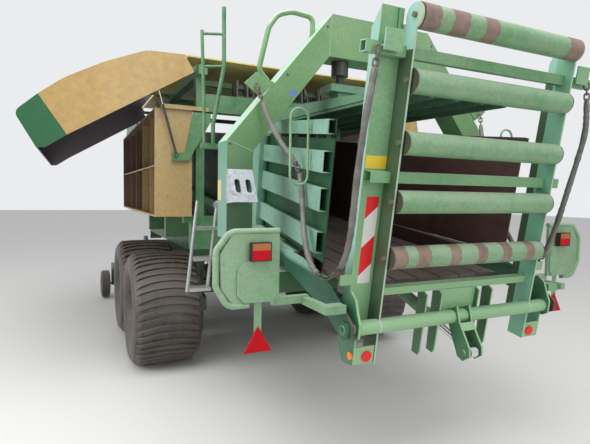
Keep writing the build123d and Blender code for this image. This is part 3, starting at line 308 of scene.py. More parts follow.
# Working steel: floor slats and reel tines rubbed by the crop, dark castings of the gearbox, the
# flywheel and the tow eye, zinc on the ladder and the jack's foot, black strut and cylinder
# tubes, and hard chrome on the three rods.
slat_steel, *_ = worn(
    "bale_worn_steel", (0.13, 0.105, 0.095), (0.24, 0.21, 0.20), (0.20, 0.16, 0.13),
    (0.16, 0.07, 0.035), fade=0.8, dusting=0.5, griming=0.7, grain=1.4, metallic=0.35,
)
finish_nodes(slat_steel, "chamber_floor", "pickup_reel")
casting, *_ = worn(
    "dark_casting", (0.05, 0.05, 0.05), (0.11, 0.11, 0.10), (0.14, 0.13, 0.11), (0.10, 0.05, 0.03),
    fade=0.6, dusting=0.5, griming=0.5, metallic=0.3,
)
finish_nodes(casting, "gearbox", "flywheel", "tow_eye", "knotter_unit")
zinc, *_ = worn(
    "dull_zinc", (0.36, 0.38, 0.38), (0.52, 0.53, 0.52), (0.50, 0.48, 0.42), (0.22, 0.13, 0.08),
    fade=0.6, dusting=0.35, griming=0.35, metallic=0.6,
)
finish_nodes(zinc, "jack_foot", "rear_ladder")
chrome, tree, bsdf = shader("rod_chrome", roughness=0.16, metallic=1.0)
bsdf.inputs["Base Color"].default_value = (0.66, 0.66, 0.68, 1)
finish_nodes(chrome, "chute_cylinder_rod", "left_strut_rod", "right_strut_rod")
strut_black, *_ = worn(
    "strut_black", (0.02, 0.02, 0.02), (0.06, 0.06, 0.06), (0.12, 0.11, 0.10), fade=0.4, dusting=0.4,
    griming=0.1,
)
finish_nodes(strut_black, "left_strut_tube", "right_strut_tube", "press_cylinders")

# Yoke: two legs and two slanted arms of folded box section, welded at the knees to a top beam. Its upper
# faces carry a painted highlight, its outer sides carry painted light in a paler teal, and the legs darken
# with painted shade towards the floor.
YOKE_REAR = 1.050
YOKE_SIDE = 1.138
YOKE_KNEE = ((1.138, 2.028), (0.967, 1.969))
YOKE_SHOULDER = ((0.408, 2.914), (0.428, 2.632))
YOKE_PLUGS = ((1.118, 2.008), (0.735, 2.473), (0.446, 2.825))
YOKE_SHADE = (2.25, 1.55)
HIGHLIGHT_SLOPE = (0.30, 0.55)
BLUE_PLATE = ((-0.722, -0.664), (2.345, 2.377))
AMBER_PLATE = ((1.170, 1.285), (1.657, 1.787))
SQUARE_ON = 0.9
SKIN = 0.002
SEAM_R = 0.0035
PLUG_R = 0.008
PLUG_H = 0.003


def within(tree, value, low, high):
    """1 where a value lies between two limits."""
    above = worked(tree, "GREATER_THAN", value, low)
    return worked(tree, "MULTIPLY", above, worked(tree, "LESS_THAN", value, high))


def all_of(tree, *masks):
    """A mask that is on where all the given ones are."""
    joined = masks[0]
    for mask in masks[1:]:
        joined = worked(tree, "MULTIPLY", joined, mask)
    return joined


def over_floor(*heights):
    """Heights measured from the floor, in the part's frame."""
    return [z + FLOOR_Z for z in heights]


yoke_paint, tree, bsdf, group = worn(
    "yoke_green", (0.110, 0.250, 0.090), (0.230, 0.360, 0.180), (0.320, 0.420, 0.280), fade=0.6,
    griming=0.2,
)
place = node(tree, "TexCoord")
axes = split(tree, place.outputs["Object"])
face = split(tree, place.outputs["Normal"])
# Painted shade: the paint darkens from 2.25 m down to 1.55 m over the floor.
shaded = sloped(tree, axes["Z"], *over_floor(*YOKE_SHADE))
tone = mixed(tree, shaded, group.outputs["Color"], (0.020, 0.085, 0.026))
# Painted light: the outer sides of the legs are painted a paler teal.
outer_side = worked(tree, "GREATER_THAN", worked(tree, "ABSOLUTE", axes["X"]), YOKE_SIDE - SKIN)
tone = mixed(tree, worked(tree, "MULTIPLY", outer_side, 0.8), tone, (0.180, 0.360, 0.290))
# Painted highlight: faces that turn upwards are painted pale mint.
lit_upper_faces = sloped(tree, face["Z"], *HIGHLIGHT_SLOPE, 0.0, 0.85)
tone = mixed(tree, lit_upper_faces, tone, (0.470, 0.640, 0.530))
on_plate = all_of(
    tree, within(tree, axes["X"], *BLUE_PLATE[0]), within(tree, axes["Z"], *over_floor(*BLUE_PLATE[1])),
    worked(tree, "LESS_THAN", face["Y"], -SQUARE_ON),
)
tone = mixed(tree, on_plate, tone, (0.10, 0.20, 0.48))
on_side = all_of(
    tree, worked(tree, "LESS_THAN", axes["X"], SKIN - YOKE_SIDE),
    within(tree, axes["Y"], *(y - EYE_Y for y in AMBER_PLATE[0])),
    within(tree, axes["Z"], *over_floor(*AMBER_PLATE[1])),
)
wire(tree, mixed(tree, on_side, tone, (0.62, 0.52, 0.24)), bsdf.inputs["Base Color"])
finish_nodes(yoke_paint, "yoke")


def seam(mesh, start, end, radius, steps=24):
    """A weld bead: a low half-round ridge with the ripple that a weld has."""
    way = (end - start).normalized()
    ahead = Vector((0, 1, 0))
    side = way.cross(ahead).normalized()
    half_sides = 6
    last = None
    for k in range(steps + 1):
        point = start + (end - start) * (k / steps)
        size = radius * (0.85 + 0.15 * math.cos(k * 2.4))
        ring = []
        for j in range(half_sides + 1):
            turn = math.pi * j / half_sides
            across, out = side * math.cos(turn) * size, ahead * math.sin(turn) * size
            ring.append(mesh.verts.new(point + across - out))
        if last:
            for j in range(half_sides):
                mesh.faces.new((last[j], last[j + 1], ring[j + 1], ring[j]))
            mesh.faces.new((last[half_sides], last[0], ring[0], ring[half_sides]))
        else:
            mesh.faces.new(ring)
        last = ring
    mesh.faces.new(list(reversed(last)))


def plug(mesh, at, axis, radius, height, sides=12):
    """A hole plug: a short round prism with a bevelled rim."""
    side = axis.orthogonal().normalized()
    other = axis.cross(side)
    rings = []
    for lift, size in ((-0.001, 1.0), (height * 0.7, 1.0), (height, 0.8)):
        turns = [2 * math.pi * k / sides for k in range(sides)]
        rings.append(
            [
                mesh.verts.new(
                    at + axis * lift + (side * math.cos(t) + other * math.sin(t)) * radius * size
                )
                for t in turns
            ]
        )
    for low, high in zip(rings, rings[1:]):
        for k in range(sides):
            mesh.faces.new((low[k], low[(k + 1) % sides], high[(k + 1) % sides], high[k]))
    mesh.faces.new(list(reversed(rings[0])))
    mesh.faces.new(rings[-1])


def made_piece(mesh, name, *materials, smooth=False):
    """Turns a mesh into an object with its finishes."""
    data = bpy.data.meshes.new(name)
    mesh.to_mesh(data)
    mesh.free()
    piece = bpy.data.objects.new(name, data)
    bpy.context.collection.objects.link(piece)
    for material in materials:
        data.materials.append(material)
    for face in data.polygons:
        face.use_smooth = smooth
    return piece


mesh = bmesh.new()
for side in (-1, 1):
    for (x0, z0), (x1, z1) in (YOKE_KNEE, YOKE_SHOULDER):
        seam(mesh, spot(side * x0, YOKE_REAR, z0), spot(side * x1, YOKE_REAR, z1), SEAM_R)
seam_paint, *_ = worn("seam_paint", (0.200, 0.400, 0.200), (0.30, 0.46, 0.28), griming=0.2)
bmesh.ops.recalc_face_normals(mesh, faces=mesh.faces)
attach(made_piece(mesh, "yoke_weld_seams", seam_paint), "machine")
mesh = bmesh.new()
for side in (-1, 1):
    for x, z in YOKE_PLUGS:
        plug(mesh, spot(side * x, YOKE_REAR, z), Vector((0, -1, 0)), PLUG_R, PLUG_H)
plug_black, *_ = worn("plug_black", (0.012, 0.014, 0.012), (0.03, 0.03, 0.03), fade=0.3, dusting=0.3)
bmesh.ops.recalc_face_normals(mesh, faces=mesh.faces)
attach(made_piece(mesh, "yoke_plugs", plug_black), "machine")

# Bale chamber walls and roof flap: pressed ribs in green, dusty on their crowns, with painted shade in the
# valleys, on the ribs' upper slopes and low on the walls by the beam. The side that the bale rubs is
# scoured to rusty brown steel, painted darker still for the shade inside the chamber.
CHAMBER_AT = spot(0, 0.500, 1.200)
CHAMBER_TILT = math.radians(7)
CHAMBER_HALF = 0.600
FLAP_HINGE_U = 1.250
FLAP_TURN = math.radians(5.6)
SCOURED_TO = 0.0030
VALLEY = (0.040, 0.016)
CROWN = (0.0435, 0.0445)
RIB_UPPER_SLOPE = (0.35, 0.6)
LOW_BEAM_SHADE = (0.060, 0.030)


def tilted(tree, place, origin, tilt):
    """The X, Y and Z of a place, measured in a frame that is tilted about X."""
    local = node(tree, "Mapping", vector_type="TEXTURE")
    local.inputs["Location"].default_value = origin
    local.inputs["Rotation"].default_value = (tilt, 0, 0)
    wire(tree, place, local.inputs["Vector"])
    return split(tree, local.outputs[0])


wall_paint, tree, bsdf, group = worn(
    "chamber_wall_green", (0.130, 0.300, 0.200), (0.240, 0.420, 0.330), (0.380, 0.560, 0.490), fade=0.7,
    dusting=0.7, griming=0.35,
)
# Rusty brown of the scoured steel, painted dark for the shade inside the chamber.
scoured_in_shade = coat_of(
    tree, (0.060, 0.026, 0.024), (0.110, 0.060, 0.055), (0.16, 0.11, 0.09), (0.05, 0.03, 0.025)
)
place = node(tree, "TexCoord")
axes = tilted(tree, place.outputs["Object"], CHAMBER_AT, CHAMBER_TILT)
leaning = split(tree, place.outputs["Normal"])
depth = worked(tree, "SUBTRACT", worked(tree, "ABSOLUTE", axes["X"]), CHAMBER_HALF)
behind = worked(tree, "MAXIMUM", worked(tree, "SUBTRACT", FLAP_HINGE_U, axes["Y"]), 0.0)
depth = worked(tree, "SUBTRACT", depth, worked(tree, "MULTIPLY", behind, math.tan(FLAP_TURN)))
crown_edge = sloped(tree, depth, *CROWN)
# Painted shade on the ribs' upper slopes; their crown edges keep the lighter paint.
upper_slope = worked(tree, "MULTIPLY", sloped(tree, leaning["Z"], *RIB_UPPER_SLOPE), 0.8)
upper_slope = all_of(tree, upper_slope, worked(tree, "SUBTRACT", 1.0, crown_edge))
wall_tone = mixed(tree, upper_slope, group.outputs["Color"], (0.045, 0.150, 0.085))
# Painted shade in the valleys between the ribs.
wall_tone = mixed(tree, sloped(tree, depth, *VALLEY), wall_tone, (0.016, 0.080, 0.036))
# Painted shade low on the walls, by the beam.
wall_tone = mixed(tree, sloped(tree, axes["Z"], *LOW_BEAM_SHADE), wall_tone, (0.018, 0.085, 0.045))
inner = worked(tree, "LESS_THAN", depth, SCOURED_TO)
wire(tree, mixed(tree, inner, wall_tone, scoured_in_shade.outputs["Color"]), bsdf.inputs["Base Color"])
finish_nodes(wall_paint, "chamber_left_wall", "chamber_right_wall")
roof_paint, *_ = worn(
    "roof_flap_green", (0.050, 0.170, 0.085), (0.160, 0.300, 0.190), (0.280, 0.420, 0.330), fade=0.5,
    dusting=0.9, griming=0.3,
)
finish_nodes(roof_paint, "chamber_roof")

# Wheels: wide flotation tyres of dusty black rubber, moulded with curved ribs across the tread,
# on pressed steel rims that are painted pale grey. The gauge wheels are the same rubber.
rim_paint, *_ = worn(
    "rim_grey", (0.42, 0.43, 0.41), (0.52, 0.52, 0.49), (0.36, 0.31, 0.25), (0.14, 0.08, 0.05),
    fade=0.5, dusting=0.5, griming=0.4,
)
rubber, *_ = worn(
    "dusty_rubber", (0.026, 0.022, 0.020), (0.075, 0.062, 0.052), (0.16, 0.135, 0.115),
    (0.05, 0.035, 0.025), fade=0.8, dusting=0.8, griming=0.3, grain=2.0, bump=0.25,
)
TYRE_R, RIM_R = 0.555, 0.285
TRACK_X = 1.2
AXLE_Y = {"rear": 3.05, "front": 4.27}
RIBS_ROUND = 46
LUG_H = 0.016
LUG_HALF = 0.0195
LUG_REACH = 0.312
LUG_LEAN = 0.10
TREAD_EDGE = math.radians(32)


def tyre_section():
    """Half outlines of the tyre's carcass, from the bead round the wall to the crown."""
    crown = TYRE_R - LUG_H
    wall = [
        (0.205, RIM_R - 0.004), (0.262, RIM_R + 0.018), (0.304, RIM_R + 0.062), (0.319, RIM_R + 0.125)
    ]
    wall += [(0.316, RIM_R + 0.185), (0.300, crown - 0.036), (0.262, crown - 0.016)]
    return wall + [(0.17, crown - 0.006), (0.08, crown - 0.001), (0.0, crown)]


def wheel_tyre(name, x, y):
    """A tyre: a turned carcass with curved ribs laid across its crown and down its shoulders."""
    mesh = bmesh.new()
    half = tyre_section()
    outline = [(-a, r) for a, r in half] + [(a, r) for a, r in reversed(half[:-1])]
    steps = 96
    rings = []
    for k in range(steps):
        turn = 2 * math.pi * k / steps
        rings.append([mesh.verts.new((a, r * math.cos(turn), r * math.sin(turn))) for a, r in outline])
    for k in range(steps):
        here, after = rings[k], rings[(k + 1) % steps]
        for i in range(len(outline) - 1):
            mesh.faces.new((here[i], after[i], after[i + 1], here[i + 1]))
        mesh.faces.new((here[-1], after[-1], after[0], here[0]))
    across = [i / 12 for i in range(-12, 13)]
    for k in range(RIBS_ROUND):
        base = 2 * math.pi * k / RIBS_ROUND
        last = None
        for share in across:
            side = abs(share)
            a = share * LUG_REACH
            lean = LUG_LEAN * side**2.2 * (1 if k % 2 else 1.25)
            top = TYRE_R - 0.002 - 0.012 * side**3 - (0.065 * max(0, side - 0.86) / 0.14)
            low = top - LUG_H - 0.016
            wide = LUG_HALF if side < 0.8 else LUG_HALF + 0.006 * (side - 0.8) / 0.2
            ring = []
            for radius, offset in (
                (low, -wide * 1.2), (top, -wide * 0.86), (top, wide * 0.86), (low, wide * 1.2)
            ):
                turn = base + lean + offset / TYRE_R
                ring.append(mesh.verts.new((a, radius * math.cos(turn), radius * math.sin(turn))))
            if last:
                for i in range(3):
                    mesh.faces.new((last[i], ring[i], ring[i + 1], last[i + 1]))
            else:
                mesh.faces.new(ring)
            last = ring
        mesh.faces.new(list(reversed(last)))
    bmesh.ops.recalc_face_normals(mesh, faces=mesh.faces)
    piece = made_piece(mesh, name, rubber, smooth=True)
    piece.location = spot(x, y, TYRE_R)
    piece.data.set_sharp_from_angle(angle=TREAD_EDGE)
    return piece


for side, x in (("left", -TRACK_X), ("right", TRACK_X)):
    for place, y in AXLE_Y.items():
        wheel = f"{side}_{place}"
        tread = wheel_tyre(f"{wheel}_treaded_tyre", x, y)
        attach(tread, f"{wheel}_wheel")
        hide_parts(f"{wheel}_tyre")
        finish_nodes(rim_paint, f"{wheel}_rim")
finish_nodes(rubber, "left_gauge_wheel", "right_gauge_wheel")

# Twine boxes: thin cream sheet with rust speckles, open on the outer side, with brown inner
# walls and an ochre floor where the paint is rubbed by the balls of twine.
BOX_MIDDLE = (1.200, 3.740, 1.955)
WALL_INWARD = -0.05
FACING = 0.7
box_cream, tree, bsdf, group = worn(
    "twine_box_cream", (0.400, 0.275, 0.115), (0.440, 0.320, 0.150), (0.400, 0.330, 0.200),
    (0.160, 0.070, 0.028), fade=0.4, dusting=0.3, griming=0.25,
)
specks = node(tree, "TexNoise", Scale=46.0, Detail=3.0, Roughness=0.7)
place = node(tree, "TexCoord")
wire(tree, place.outputs["Object"], specks.inputs["Vector"])
rusty = sloped(tree, specks.outputs[0], 0.66, 0.70)
sheet = mixed(tree, rusty, group.outputs["Color"], (0.17, 0.07, 0.03))
spread = split(tree, place.outputs["Object"])
face = split(tree, place.outputs["Normal"])
inner_faces = None
for axis, middle in zip("XYZ", spot(*BOX_MIDDLE)):
    reach, lean = spread[axis], face[axis]
    if axis == "X":
        lean = worked(tree, "MULTIPLY", lean, worked(tree, "SIGN", reach))
        reach = worked(tree, "ABSOLUTE", reach)
    inwards = worked(tree, "MULTIPLY", worked(tree, "SUBTRACT", reach, middle), lean)
    inwards = worked(tree, "LESS_THAN", inwards, WALL_INWARD)
    inner_faces = inwards if inner_faces is None else worked(tree, "MAXIMUM", inner_faces, inwards)
rubbed = mixed(tree, specks.outputs[0], (0.170, 0.105, 0.070), (0.115, 0.068, 0.048))
rubbed = mixed(tree, worked(tree, "GREATER_THAN", face["Z"], FACING), rubbed, (0.34, 0.19, 0.03))
wire(tree, mixed(tree, inner_faces, sheet, rubbed), bsdf.inputs["Base Color"])
finish_nodes(box_cream, "left_twine_box", "right_twine_box")

# Side hoods: moulded shells, cream with a green band along the lower edge, dark grey-brown
# inside. They are fixed to steel arms on the roof rail and held by a strut.
BAND_TOP = (2.226, 2.429)
BAND_FOOT = (2.032, 2.135)
HOOD_MIDDLE = (1.65, 3.725, 2.47)
HOOD_TIP = (2.386, 2.282)
HINGE = (1.120, 2.800)
HOOD_LINING = (0.150, 0.128, 0.150)
HOOD_SWING = 55


def swung(point, degrees):
    """A point of the raised hood's outline, turned shut about the hinge."""
    turn = math.radians(degrees)
    x, z = point[0] - HINGE[0], point[1] - HINGE[1]
    swung_x = HINGE[0] + x * math.cos(turn) + z * math.sin(turn)
    swung_z = HINGE[1] - x * math.sin(turn) + z * math.cos(turn)
    return swung_x, swung_z


def reach_along(tree, place, start, way):
    """How far a place lies from a point along a direction, which may be an output."""
    apart = node(tree, "VectorMath", operation="SUBTRACT")
    wire(tree, place, apart.inputs[0])
    apart.inputs[1].default_value = start
    reach = node(tree, "VectorMath", operation="DOT_PRODUCT")
    wire(tree, apart.outputs[0], reach.inputs[0])
    if isinstance(way, Vector):
        reach.inputs[1].default_value = way
    else:
        wire(tree, way, reach.inputs[1])
    return reach.outputs["Value"]


def hood_finish(name, side, shut):
    """Cream above the band's line, green below it, and dark on the inner side of the shell."""
    material, tree, bsdf, group = worn(
        name, (0.400, 0.255, 0.080), (0.430, 0.280, 0.092), (0.560, 0.430, 0.230), (0.300, 0.200, 0.090),
        fade=0.15, dusting=0.16, griming=0.0, grain=0.3, coat=0.25, bump=0.03,
    )
    top, foot = swung(BAND_TOP, shut), swung(BAND_FOOT, shut)
    centre = swung((HOOD_MIDDLE[0], HOOD_MIDDLE[2]), shut)
    normal = Vector((-(top[1] - foot[1]), 0, top[0] - foot[0])).normalized()
    tip = swung(HOOD_TIP, shut)
    if normal.dot(Vector((tip[0] - top[0], 0, tip[1] - top[1]))) < 0:
        normal = -normal
    normal.x *= side
    place = node(tree, "TexCoord")
    edge = spot(side * top[0], 0, top[1])
    above = reach_along(tree, place.outputs["Object"], edge, normal)
    band = worked(tree, "GREATER_THAN", above, 0.0)
    group_green = coat_of(
        tree, (0.001, 0.085, 0.022), (0.002, 0.105, 0.032), (0.008, 0.150, 0.060), (0.010, 0.070, 0.030)
    )
    middle = spot(side * centre[0], HOOD_MIDDLE[1], centre[1])
    turned_out = reach_along(tree, place.outputs["Object"], middle, place.outputs["Normal"])
    lining = worked(tree, "LESS_THAN", turned_out, 0.0)
    outside = mixed(tree, band, group.outputs["Color"], group_green.outputs["Color"])
    wire(tree, mixed(tree, lining, outside, HOOD_LINING), bsdf.inputs["Base Color"])
    return material


finish_nodes(hood_finish("left_hood_cream_and_green", -1, 0), "left_hood")
finish_nodes(hood_finish("right_hood_cream_and_green", 1, HOOD_SWING), "right_hood")
roof_cream, *_ = worn(
    "roof_cream", (0.66, 0.50, 0.15), (0.70, 0.56, 0.22), (0.56, 0.48, 0.26), (0.30, 0.20, 0.08),
    fade=0.5, dusting=0.4, griming=0.2,
)
finish_nodes(roof_cream, "roof_cover")

# Light boards: pressed plates in pale green paint, dusty, on arms beside the chute. They carry
# moulded lamps, amber over red, in dark housings. Red reflectors are screwed to the chute, and
# the wheel chock of zinc-plated sheet hangs on the left post.
board_green, *_ = worn(
    "light_board_green", (0.14, 0.27, 0.14), (0.24, 0.38, 0.23), (0.34, 0.42, 0.32), (0.09, 0.10, 0.06),
    fade=0.6, dusting=0.5, griming=0.2,
)
finish_nodes(board_green, "left_light_board", "right_light_board", "chain_guides")
LAMP_GLASS = ((1.1035, 1.1995), (1.3705, 1.4545))
LAMP_FOOT = 1.362
AMBER_FROM = 1.420
lens, tree, bsdf = shader("lamp_lens", roughness=0.30)
bsdf.inputs["Specular IOR Level"].default_value = 0.15
place = node(tree, "TexCoord")
axes = split(tree, place.outputs["Object"])
apart = worked(tree, "ABSOLUTE", axes["X"])
in_frame = all_of(
    tree, within(tree, apart, *LAMP_GLASS[0]), within(tree, axes["Z"], *over_floor(*LAMP_GLASS[1]))
)
amber, on_lamp = (worked(tree, "GREATER_THAN", axes["Z"], z) for z in over_floor(AMBER_FROM, LAMP_FOOT))
housing = all_of(tree, on_lamp, worked(tree, "SUBTRACT", 1.0, in_frame))
glass = mixed(tree, amber, (0.42, 0.0015, 0.0060), (0.36, 0.125, 0.045))
wire(tree, mixed(tree, housing, glass, (0.030, 0.026, 0.024)), bsdf.inputs["Base Color"])
finish_nodes(lens, "rear_lamps")
REFLECTOR_OUTER = 0.6995
reflector, tree, bsdf = shader("reflector_red", roughness=0.25)
bsdf.inputs["Specular IOR Level"].default_value = 0.25
place = node(tree, "TexCoord")
axes = split(tree, place.outputs["Object"])
sideways = worked(tree, "GREATER_THAN", worked(tree, "ABSOLUTE", axes["X"]), REFLECTOR_OUTER)
wire(tree, mixed(tree, sideways, (0.70, 0.02, 0.02), (0.80, 0.22, 0.02)), bsdf.inputs["Base Color"])
finish_nodes(reflector, "chute_reflectors")
chock_grey, *_ = worn(
    "chock_grey", (0.32, 0.35, 0.40), (0.46, 0.50, 0.55), (0.36, 0.35, 0.34), (0.10, 0.08, 0.06), fade=0.8,
    dusting=0.4, griming=0.7, grain=2.5,
)
finish_nodes(chock_grey, "wheel_chock")

# Chute frame: box tubes welded to flange plates. Its side faces carry painted shade, the posts' outer
# sides and the faces on the right carry painted light, and the posts turn to painted shade near the pivot.
# The flange plates are darker with the painted shadow of the post, with painted light at their tops and a
# painted highlight along their rear edges. The lower bars' rear faces are paler towards the bottom, and
# the left post carries a red and white marker and a blank yellow plate.
PIVOT = spot(0, 0.240, 1.020)
CHUTE_TILT = math.radians(9.1)
POST_OUTER = 0.700
POST_REAR = (0.0865, 0.0875)
FLANGE_X = (0.5695, 0.5705)
FLANGE_RIM_X = (0.5595, 0.5705)
FLANGE_REAR = -0.0135
FLANGE_HEAD_W = 1.380
RIGHT_FROM = 0.500
LOW_BARS_W = (0.95, 0.20)
PIVOT_SHADE_W = (0.42, 0.12)
MARKER_X = (-0.662, -0.587)
MARKER_W = (0.210, 0.670)
STRIPE = 0.152
STRIPE_SLOPE = 0.9
STRIPE_START = 0.097
PLATE_X = (-0.694, -0.570)
PLATE_W = (0.812, 0.876)
chute_paint, tree, bsdf, group = worn(
    "chute_frame_green", (0.105, 0.275, 0.115), (0.230, 0.410, 0.220), (0.330, 0.450, 0.310), fade=0.6,
    dusting=0.55, griming=0.25,
)
place = node(tree, "TexCoord")
across, forward, along = tilted(tree, place.outputs["Object"], PIVOT, CHUTE_TILT)
apart = worked(tree, "ABSOLUTE", across)
face = split(tree, place.outputs["Normal"])
sideways = worked(tree, "GREATER_THAN", worked(tree, "ABSOLUTE", face["X"]), FACING)
post_side = all_of(tree, sideways, worked(tree, "GREATER_THAN", apart, POST_OUTER - SKIN))
flange_side = all_of(tree, sideways, within(tree, apart, *FLANGE_X))
flange_edge = all_of(
    tree, within(tree, apart, *FLANGE_RIM_X), worked(tree, "LESS_THAN", forward, FLANGE_REAR)
)
flange_top = all_of(tree, flange_side, worked(tree, "GREATER_THAN", along, FLANGE_HEAD_W))
right_side = all_of(tree, sideways, worked(tree, "GREATER_THAN", across, RIGHT_FROM))
low_bars = sloped(tree, along, *LOW_BARS_W, 0.0, 0.75)
low_bars = all_of(tree, low_bars, worked(tree, "LESS_THAN", face["Y"], -FACING))
rear_face = within(tree, forward, *POST_REAR)
marker = all_of(tree, rear_face, within(tree, across, *MARKER_X), within(tree, along, *MARKER_W))
plate = all_of(tree, rear_face, within(tree, across, *PLATE_X), within(tree, along, *PLATE_W))
rise = worked(tree, "MULTIPLY", worked(tree, "SUBTRACT", across, MARKER_X[0]), STRIPE_SLOPE)
climbed = worked(tree, "SUBTRACT", worked(tree, "SUBTRACT", along, rise), STRIPE_START)
band = worked(tree, "DIVIDE", climbed, 2 * STRIPE)
red = worked(tree, "GREATER_THAN", worked(tree, "FRACT", band), 0.5)
# The lower bars' rear faces are painted paler towards the bottom.
dust_and_light = mixed(tree, low_bars, group.outputs["Color"], (0.240, 0.420, 0.220))
# Painted shade on the side faces.
dust_and_light = mixed(tree, worked(tree, "MULTIPLY", sideways, 0.85), dust_and_light, (0.030, 0.110, 0.048))
# Painted light on the side faces on the right.
dust_and_light = mixed(tree, right_side, dust_and_light, (0.180, 0.420, 0.280))
# The posts' outer sides carry painted light that turns to painted shade near the pivot.
near_pivot = sloped(tree, along, *PIVOT_SHADE_W)
post_tone = mixed(tree, near_pivot, (0.290, 0.480, 0.400), (0.050, 0.150, 0.075))
dust_and_light = mixed(tree, post_side, dust_and_light, post_tone)
# The flange plates' sides carry the painted shadow of the post, with painted light at their tops and a
# painted highlight along their rear edges.
dust_and_light = mixed(tree, flange_side, dust_and_light, (0.050, 0.092, 0.045))
dust_and_light = mixed(tree, flange_top, dust_and_light, (0.290, 0.500, 0.430))
dust_and_light = mixed(tree, flange_edge, dust_and_light, (0.350, 0.450, 0.330))
dust_and_light = mixed(tree, marker, dust_and_light, mixed(tree, red, (0.60, 0.60, 0.55), (0.62, 0.008, 0.012)))
wire(tree, mixed(tree, plate, dust_and_light, (0.70, 0.50, 0.03)), bsdf.inputs["Base Color"])
finish_nodes(chute_paint, "chute_frame")

# Chute rollers: painted tubes. Bales wear the top and the lowest one to brown in bands, and
# every roller's ends and bolt heads are dark where they run in the flange plates.
WORN_BANDS = {
    1: ((-0.600, -0.463), (-0.388, -0.285), (-0.184, -0.093), (0.440, 0.600)),
    5: (
        (-0.600, -0.465), (-0.399, -0.310), (-0.176, -0.103), (0.018, 0.089), (0.206, 0.275),
        (0.404, 0.470),
    ),
}
ROLLER_END = 0.5475
FLANGE_OUTER = 0.5703
RAGGED_EDGE = 0.05
for number in range(1, 6):
    paint, tree, bsdf, group = worn(
        f"roller_{number}_paint", (0.110, 0.255, 0.115), (0.200, 0.340, 0.200), (0.370, 0.450, 0.330),
        (0.160, 0.100, 0.060), fade=0.6, dusting=0.6, griming=0.25,
    )
    place = node(tree, "TexCoord")
    axes = split(tree, place.outputs["Object"])
    ragged = node(tree, "TexNoise", Scale=16.0, Detail=5.0, Roughness=0.7)
    wire(tree, place.outputs["Object"], ragged.inputs["Vector"])
    stray = worked(tree, "MULTIPLY", worked(tree, "SUBTRACT", ragged.outputs[0], 0.5), RAGGED_EDGE)
    along = worked(tree, "ADD", axes["X"], stray)
    apart = worked(tree, "ABSOLUTE", axes["X"])
    tone = group.outputs["Color"]
    brown = mixed(tree, ragged.outputs[0], (0.070, 0.030, 0.020), (0.340, 0.250, 0.200))
    for low, high in WORN_BANDS.get(number, ()):
        tone = mixed(tree, within(tree, along, low, high), tone, brown)
    if number > 1:
        tone = mixed(tree, worked(tree, "GREATER_THAN", apart, ROLLER_END), tone, (0.048, 0.050, 0.028))
    tone = mixed(tree, worked(tree, "GREATER_THAN", apart, FLANGE_OUTER), tone, (0.120, 0.125, 0.070))
    wire(tree, tone, bsdf.inputs["Base Color"])
    finish_nodes(paint, f"chute_roller_{number}")

# Chute chains: steel chain in a fabric sleeve, hooked on the yoke and on the chute's upper crossbar. The
# sleeve is grey cloth, faded in patches and streaked with grime, with bare links where it has slid off.
CHAIN_POINTS = [
    (0.951, 1.0326, 2.385),
    (0.912, 0.985, 2.205),
    (0.869, 0.885, 2.04),
    (0.821, 0.801, 1.928),
    (0.78, 0.77, 1.863),
    (0.773, 0.738, 1.744),
    (0.782, 0.705, 1.624),
    (0.803, 0.643, 1.503),
    (0.818, 0.576, 1.393),
    (0.816, 0.52, 1.308),
    (0.805, 0.44, 1.262),
    (0.787, 0.36, 1.264),
    (0.765, 0.292, 1.318),
    (0.757, 0.238, 1.42),
    (0.762, 0.195, 1.555),
    (0.773, 0.155, 1.722),
    (0.781, 0.11, 1.9),
    (0.783, 0.06, 2.09),
    (0.763, 0.046, 2.226),
    (0.742, 0.0414, 2.3777),
]
SLEEVE_R = 0.018
SLEEVED_SHARES = ((0.035, 0.232), (0.252, 0.505), (0.575, 0.965))
TUCKED_IN = 0.012
LINK_PITCH = 0.030
LINK_LENGTH, LINK_WIDTH = 0.042, 0.026
LINK_WIRE = 0.0046
sleeve_cloth, tree, bsdf, group = worn(
    "chain_sleeve", (0.085, 0.080, 0.070), (0.17, 0.17, 0.155), (0.22, 0.20, 0.17),
    (0.05, 0.035, 0.025), fade=0.8, dusting=0.5, griming=0.6, grain=6.0, bump=0.4,
)
link_steel, *_ = worn(
    "chain_links", (0.10, 0.09, 0.08), (0.17, 0.14, 0.12), (0.20, 0.17, 0.14), (0.12, 0.055, 0.03),
    fade=0.7, dusting=0.4, griming=0.6, grain=5.0, metallic=0.5,
)


def smooth_route(name, points):
    """A limp line through the route, as a NURBS spline, and the points along it."""
    curve = bpy.data.curves.new(name, "CURVE")
    curve.dimensions = "3D"
    spline = curve.splines.new("NURBS")
    spline.points.add(len(points) - 1)
    for place, point in zip(spline.points, points):
        place.co = (*point, 1)
    spline.order_u = 3
    spline.use_endpoint_u = True
    curve.resolution_u = 8
    holder = bpy.data.objects.new(name, curve)
    bpy.context.collection.objects.link(holder)
    bpy.context.view_layer.update()
    made = bpy.data.meshes.new_from_object(holder.evaluated_get(bpy.context.evaluated_depsgraph_get()))
    route = [v.co.copy() for v in made.vertices]
    bpy.data.objects.remove(holder)
    return route


def frames_along(route):
    """Distance, point, direction and a steady side vector at each point of a route."""
    out, walked, side = [], 0.0, None
    for i, point in enumerate(route):
        way = (route[min(i + 1, len(route) - 1)] - route[max(i - 1, 0)]).normalized()
        if side is None:
            side = way.orthogonal().normalized()
        side = (side - way * side.dot(way)).normalized()
        if i:
            walked += (point - route[i - 1]).length
        out.append((walked, point, way, side))
    return out


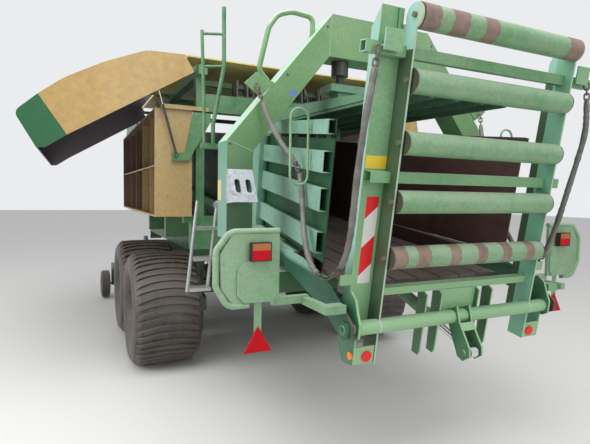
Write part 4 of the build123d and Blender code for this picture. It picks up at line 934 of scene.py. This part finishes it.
def add_tube(mesh, line, radius, slot_number, sides=14, wobble=0.16):
    """A closed tube along a stretch of frames, a little creased as cloth is."""
    last = None
    for i, (walked, point, way, side) in enumerate(line):
        other = way.cross(side)
        size = radius * (1 - wobble * (0.5 + 0.5 * math.sin(walked * 210 + 2 * math.sin(walked * 57))))
        if i in (0, len(line) - 1):
            size *= 0.86
        ring = []
        for k in range(sides):
            turn = 2 * math.pi * k / sides
            ring.append(mesh.verts.new(point + (side * math.cos(turn) + other * math.sin(turn)) * size))
        if last:
            for k in range(sides):
                face = mesh.faces.new((last[k], last[(k + 1) % sides], ring[(k + 1) % sides], ring[k]))
                face.material_index = slot_number
        else:
            mesh.faces.new(list(reversed(ring))).material_index = slot_number
        last = ring
    mesh.faces.new(last).material_index = slot_number


def add_link(mesh, centre, way, side, slot_number):
    """One oval chain link."""
    steps, sides = 14, 6
    half = (LINK_LENGTH - LINK_WIDTH) / 2
    rings = []
    for k in range(steps):
        turn = 2 * math.pi * k / steps
        push = half if math.cos(turn) > 0 else -half
        spine = centre + way * (math.cos(turn) * LINK_WIDTH / 2 + push)
        spine += side * (math.sin(turn) * LINK_WIDTH / 2)
        out = (way * math.cos(turn) + side * math.sin(turn)).normalized()
        normal = way.cross(side)
        ring = []
        for j in range(sides):
            angle = 2 * math.pi * j / sides
            ring.append(
                mesh.verts.new(spine + (out * math.cos(angle) + normal * math.sin(angle)) * LINK_WIRE)
            )
        rings.append(ring)
    for k in range(steps):
        here, after = rings[k], rings[(k + 1) % steps]
        for j in range(sides):
            face = mesh.faces.new((here[j], after[j], after[(j + 1) % sides], here[(j + 1) % sides]))
            face.material_index = slot_number


def sleeved_chain(name, sign):
    """A chain in its sleeve with bare links at its ends, by the guide and at its lowest point."""
    points = [spot(sign * x, y, z) for x, y, z in CHAIN_POINTS]
    route = smooth_route(name + "_route", points)
    line = frames_along(route)
    total = line[-1][0]
    mesh = bmesh.new()
    for start, end in SLEEVED_SHARES:
        stretch = [item for item in line if start * total <= item[0] <= end * total]
        add_tube(mesh, stretch, SLEEVE_R, 0)
    count = int(total / LINK_PITCH)
    for k in range(count):
        at = (k + 0.5) * total / count
        if any(start + TUCKED_IN < at / total < end - TUCKED_IN for start, end in SLEEVED_SHARES):
            continue
        walked, point, way, side = min(line, key=lambda f: abs(f[0] - at))
        turned_side = side if k % 2 else way.cross(side)
        add_link(mesh, point + way * (at - walked), way, turned_side, 1)
    piece = made_piece(mesh, name, sleeve_cloth, link_steel, smooth=True)
    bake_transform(piece)
    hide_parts(name.replace("_sleeved", ""))


sleeved_chain("left_chain_sleeved", -1)
sleeved_chain("right_chain_sleeved", 1)
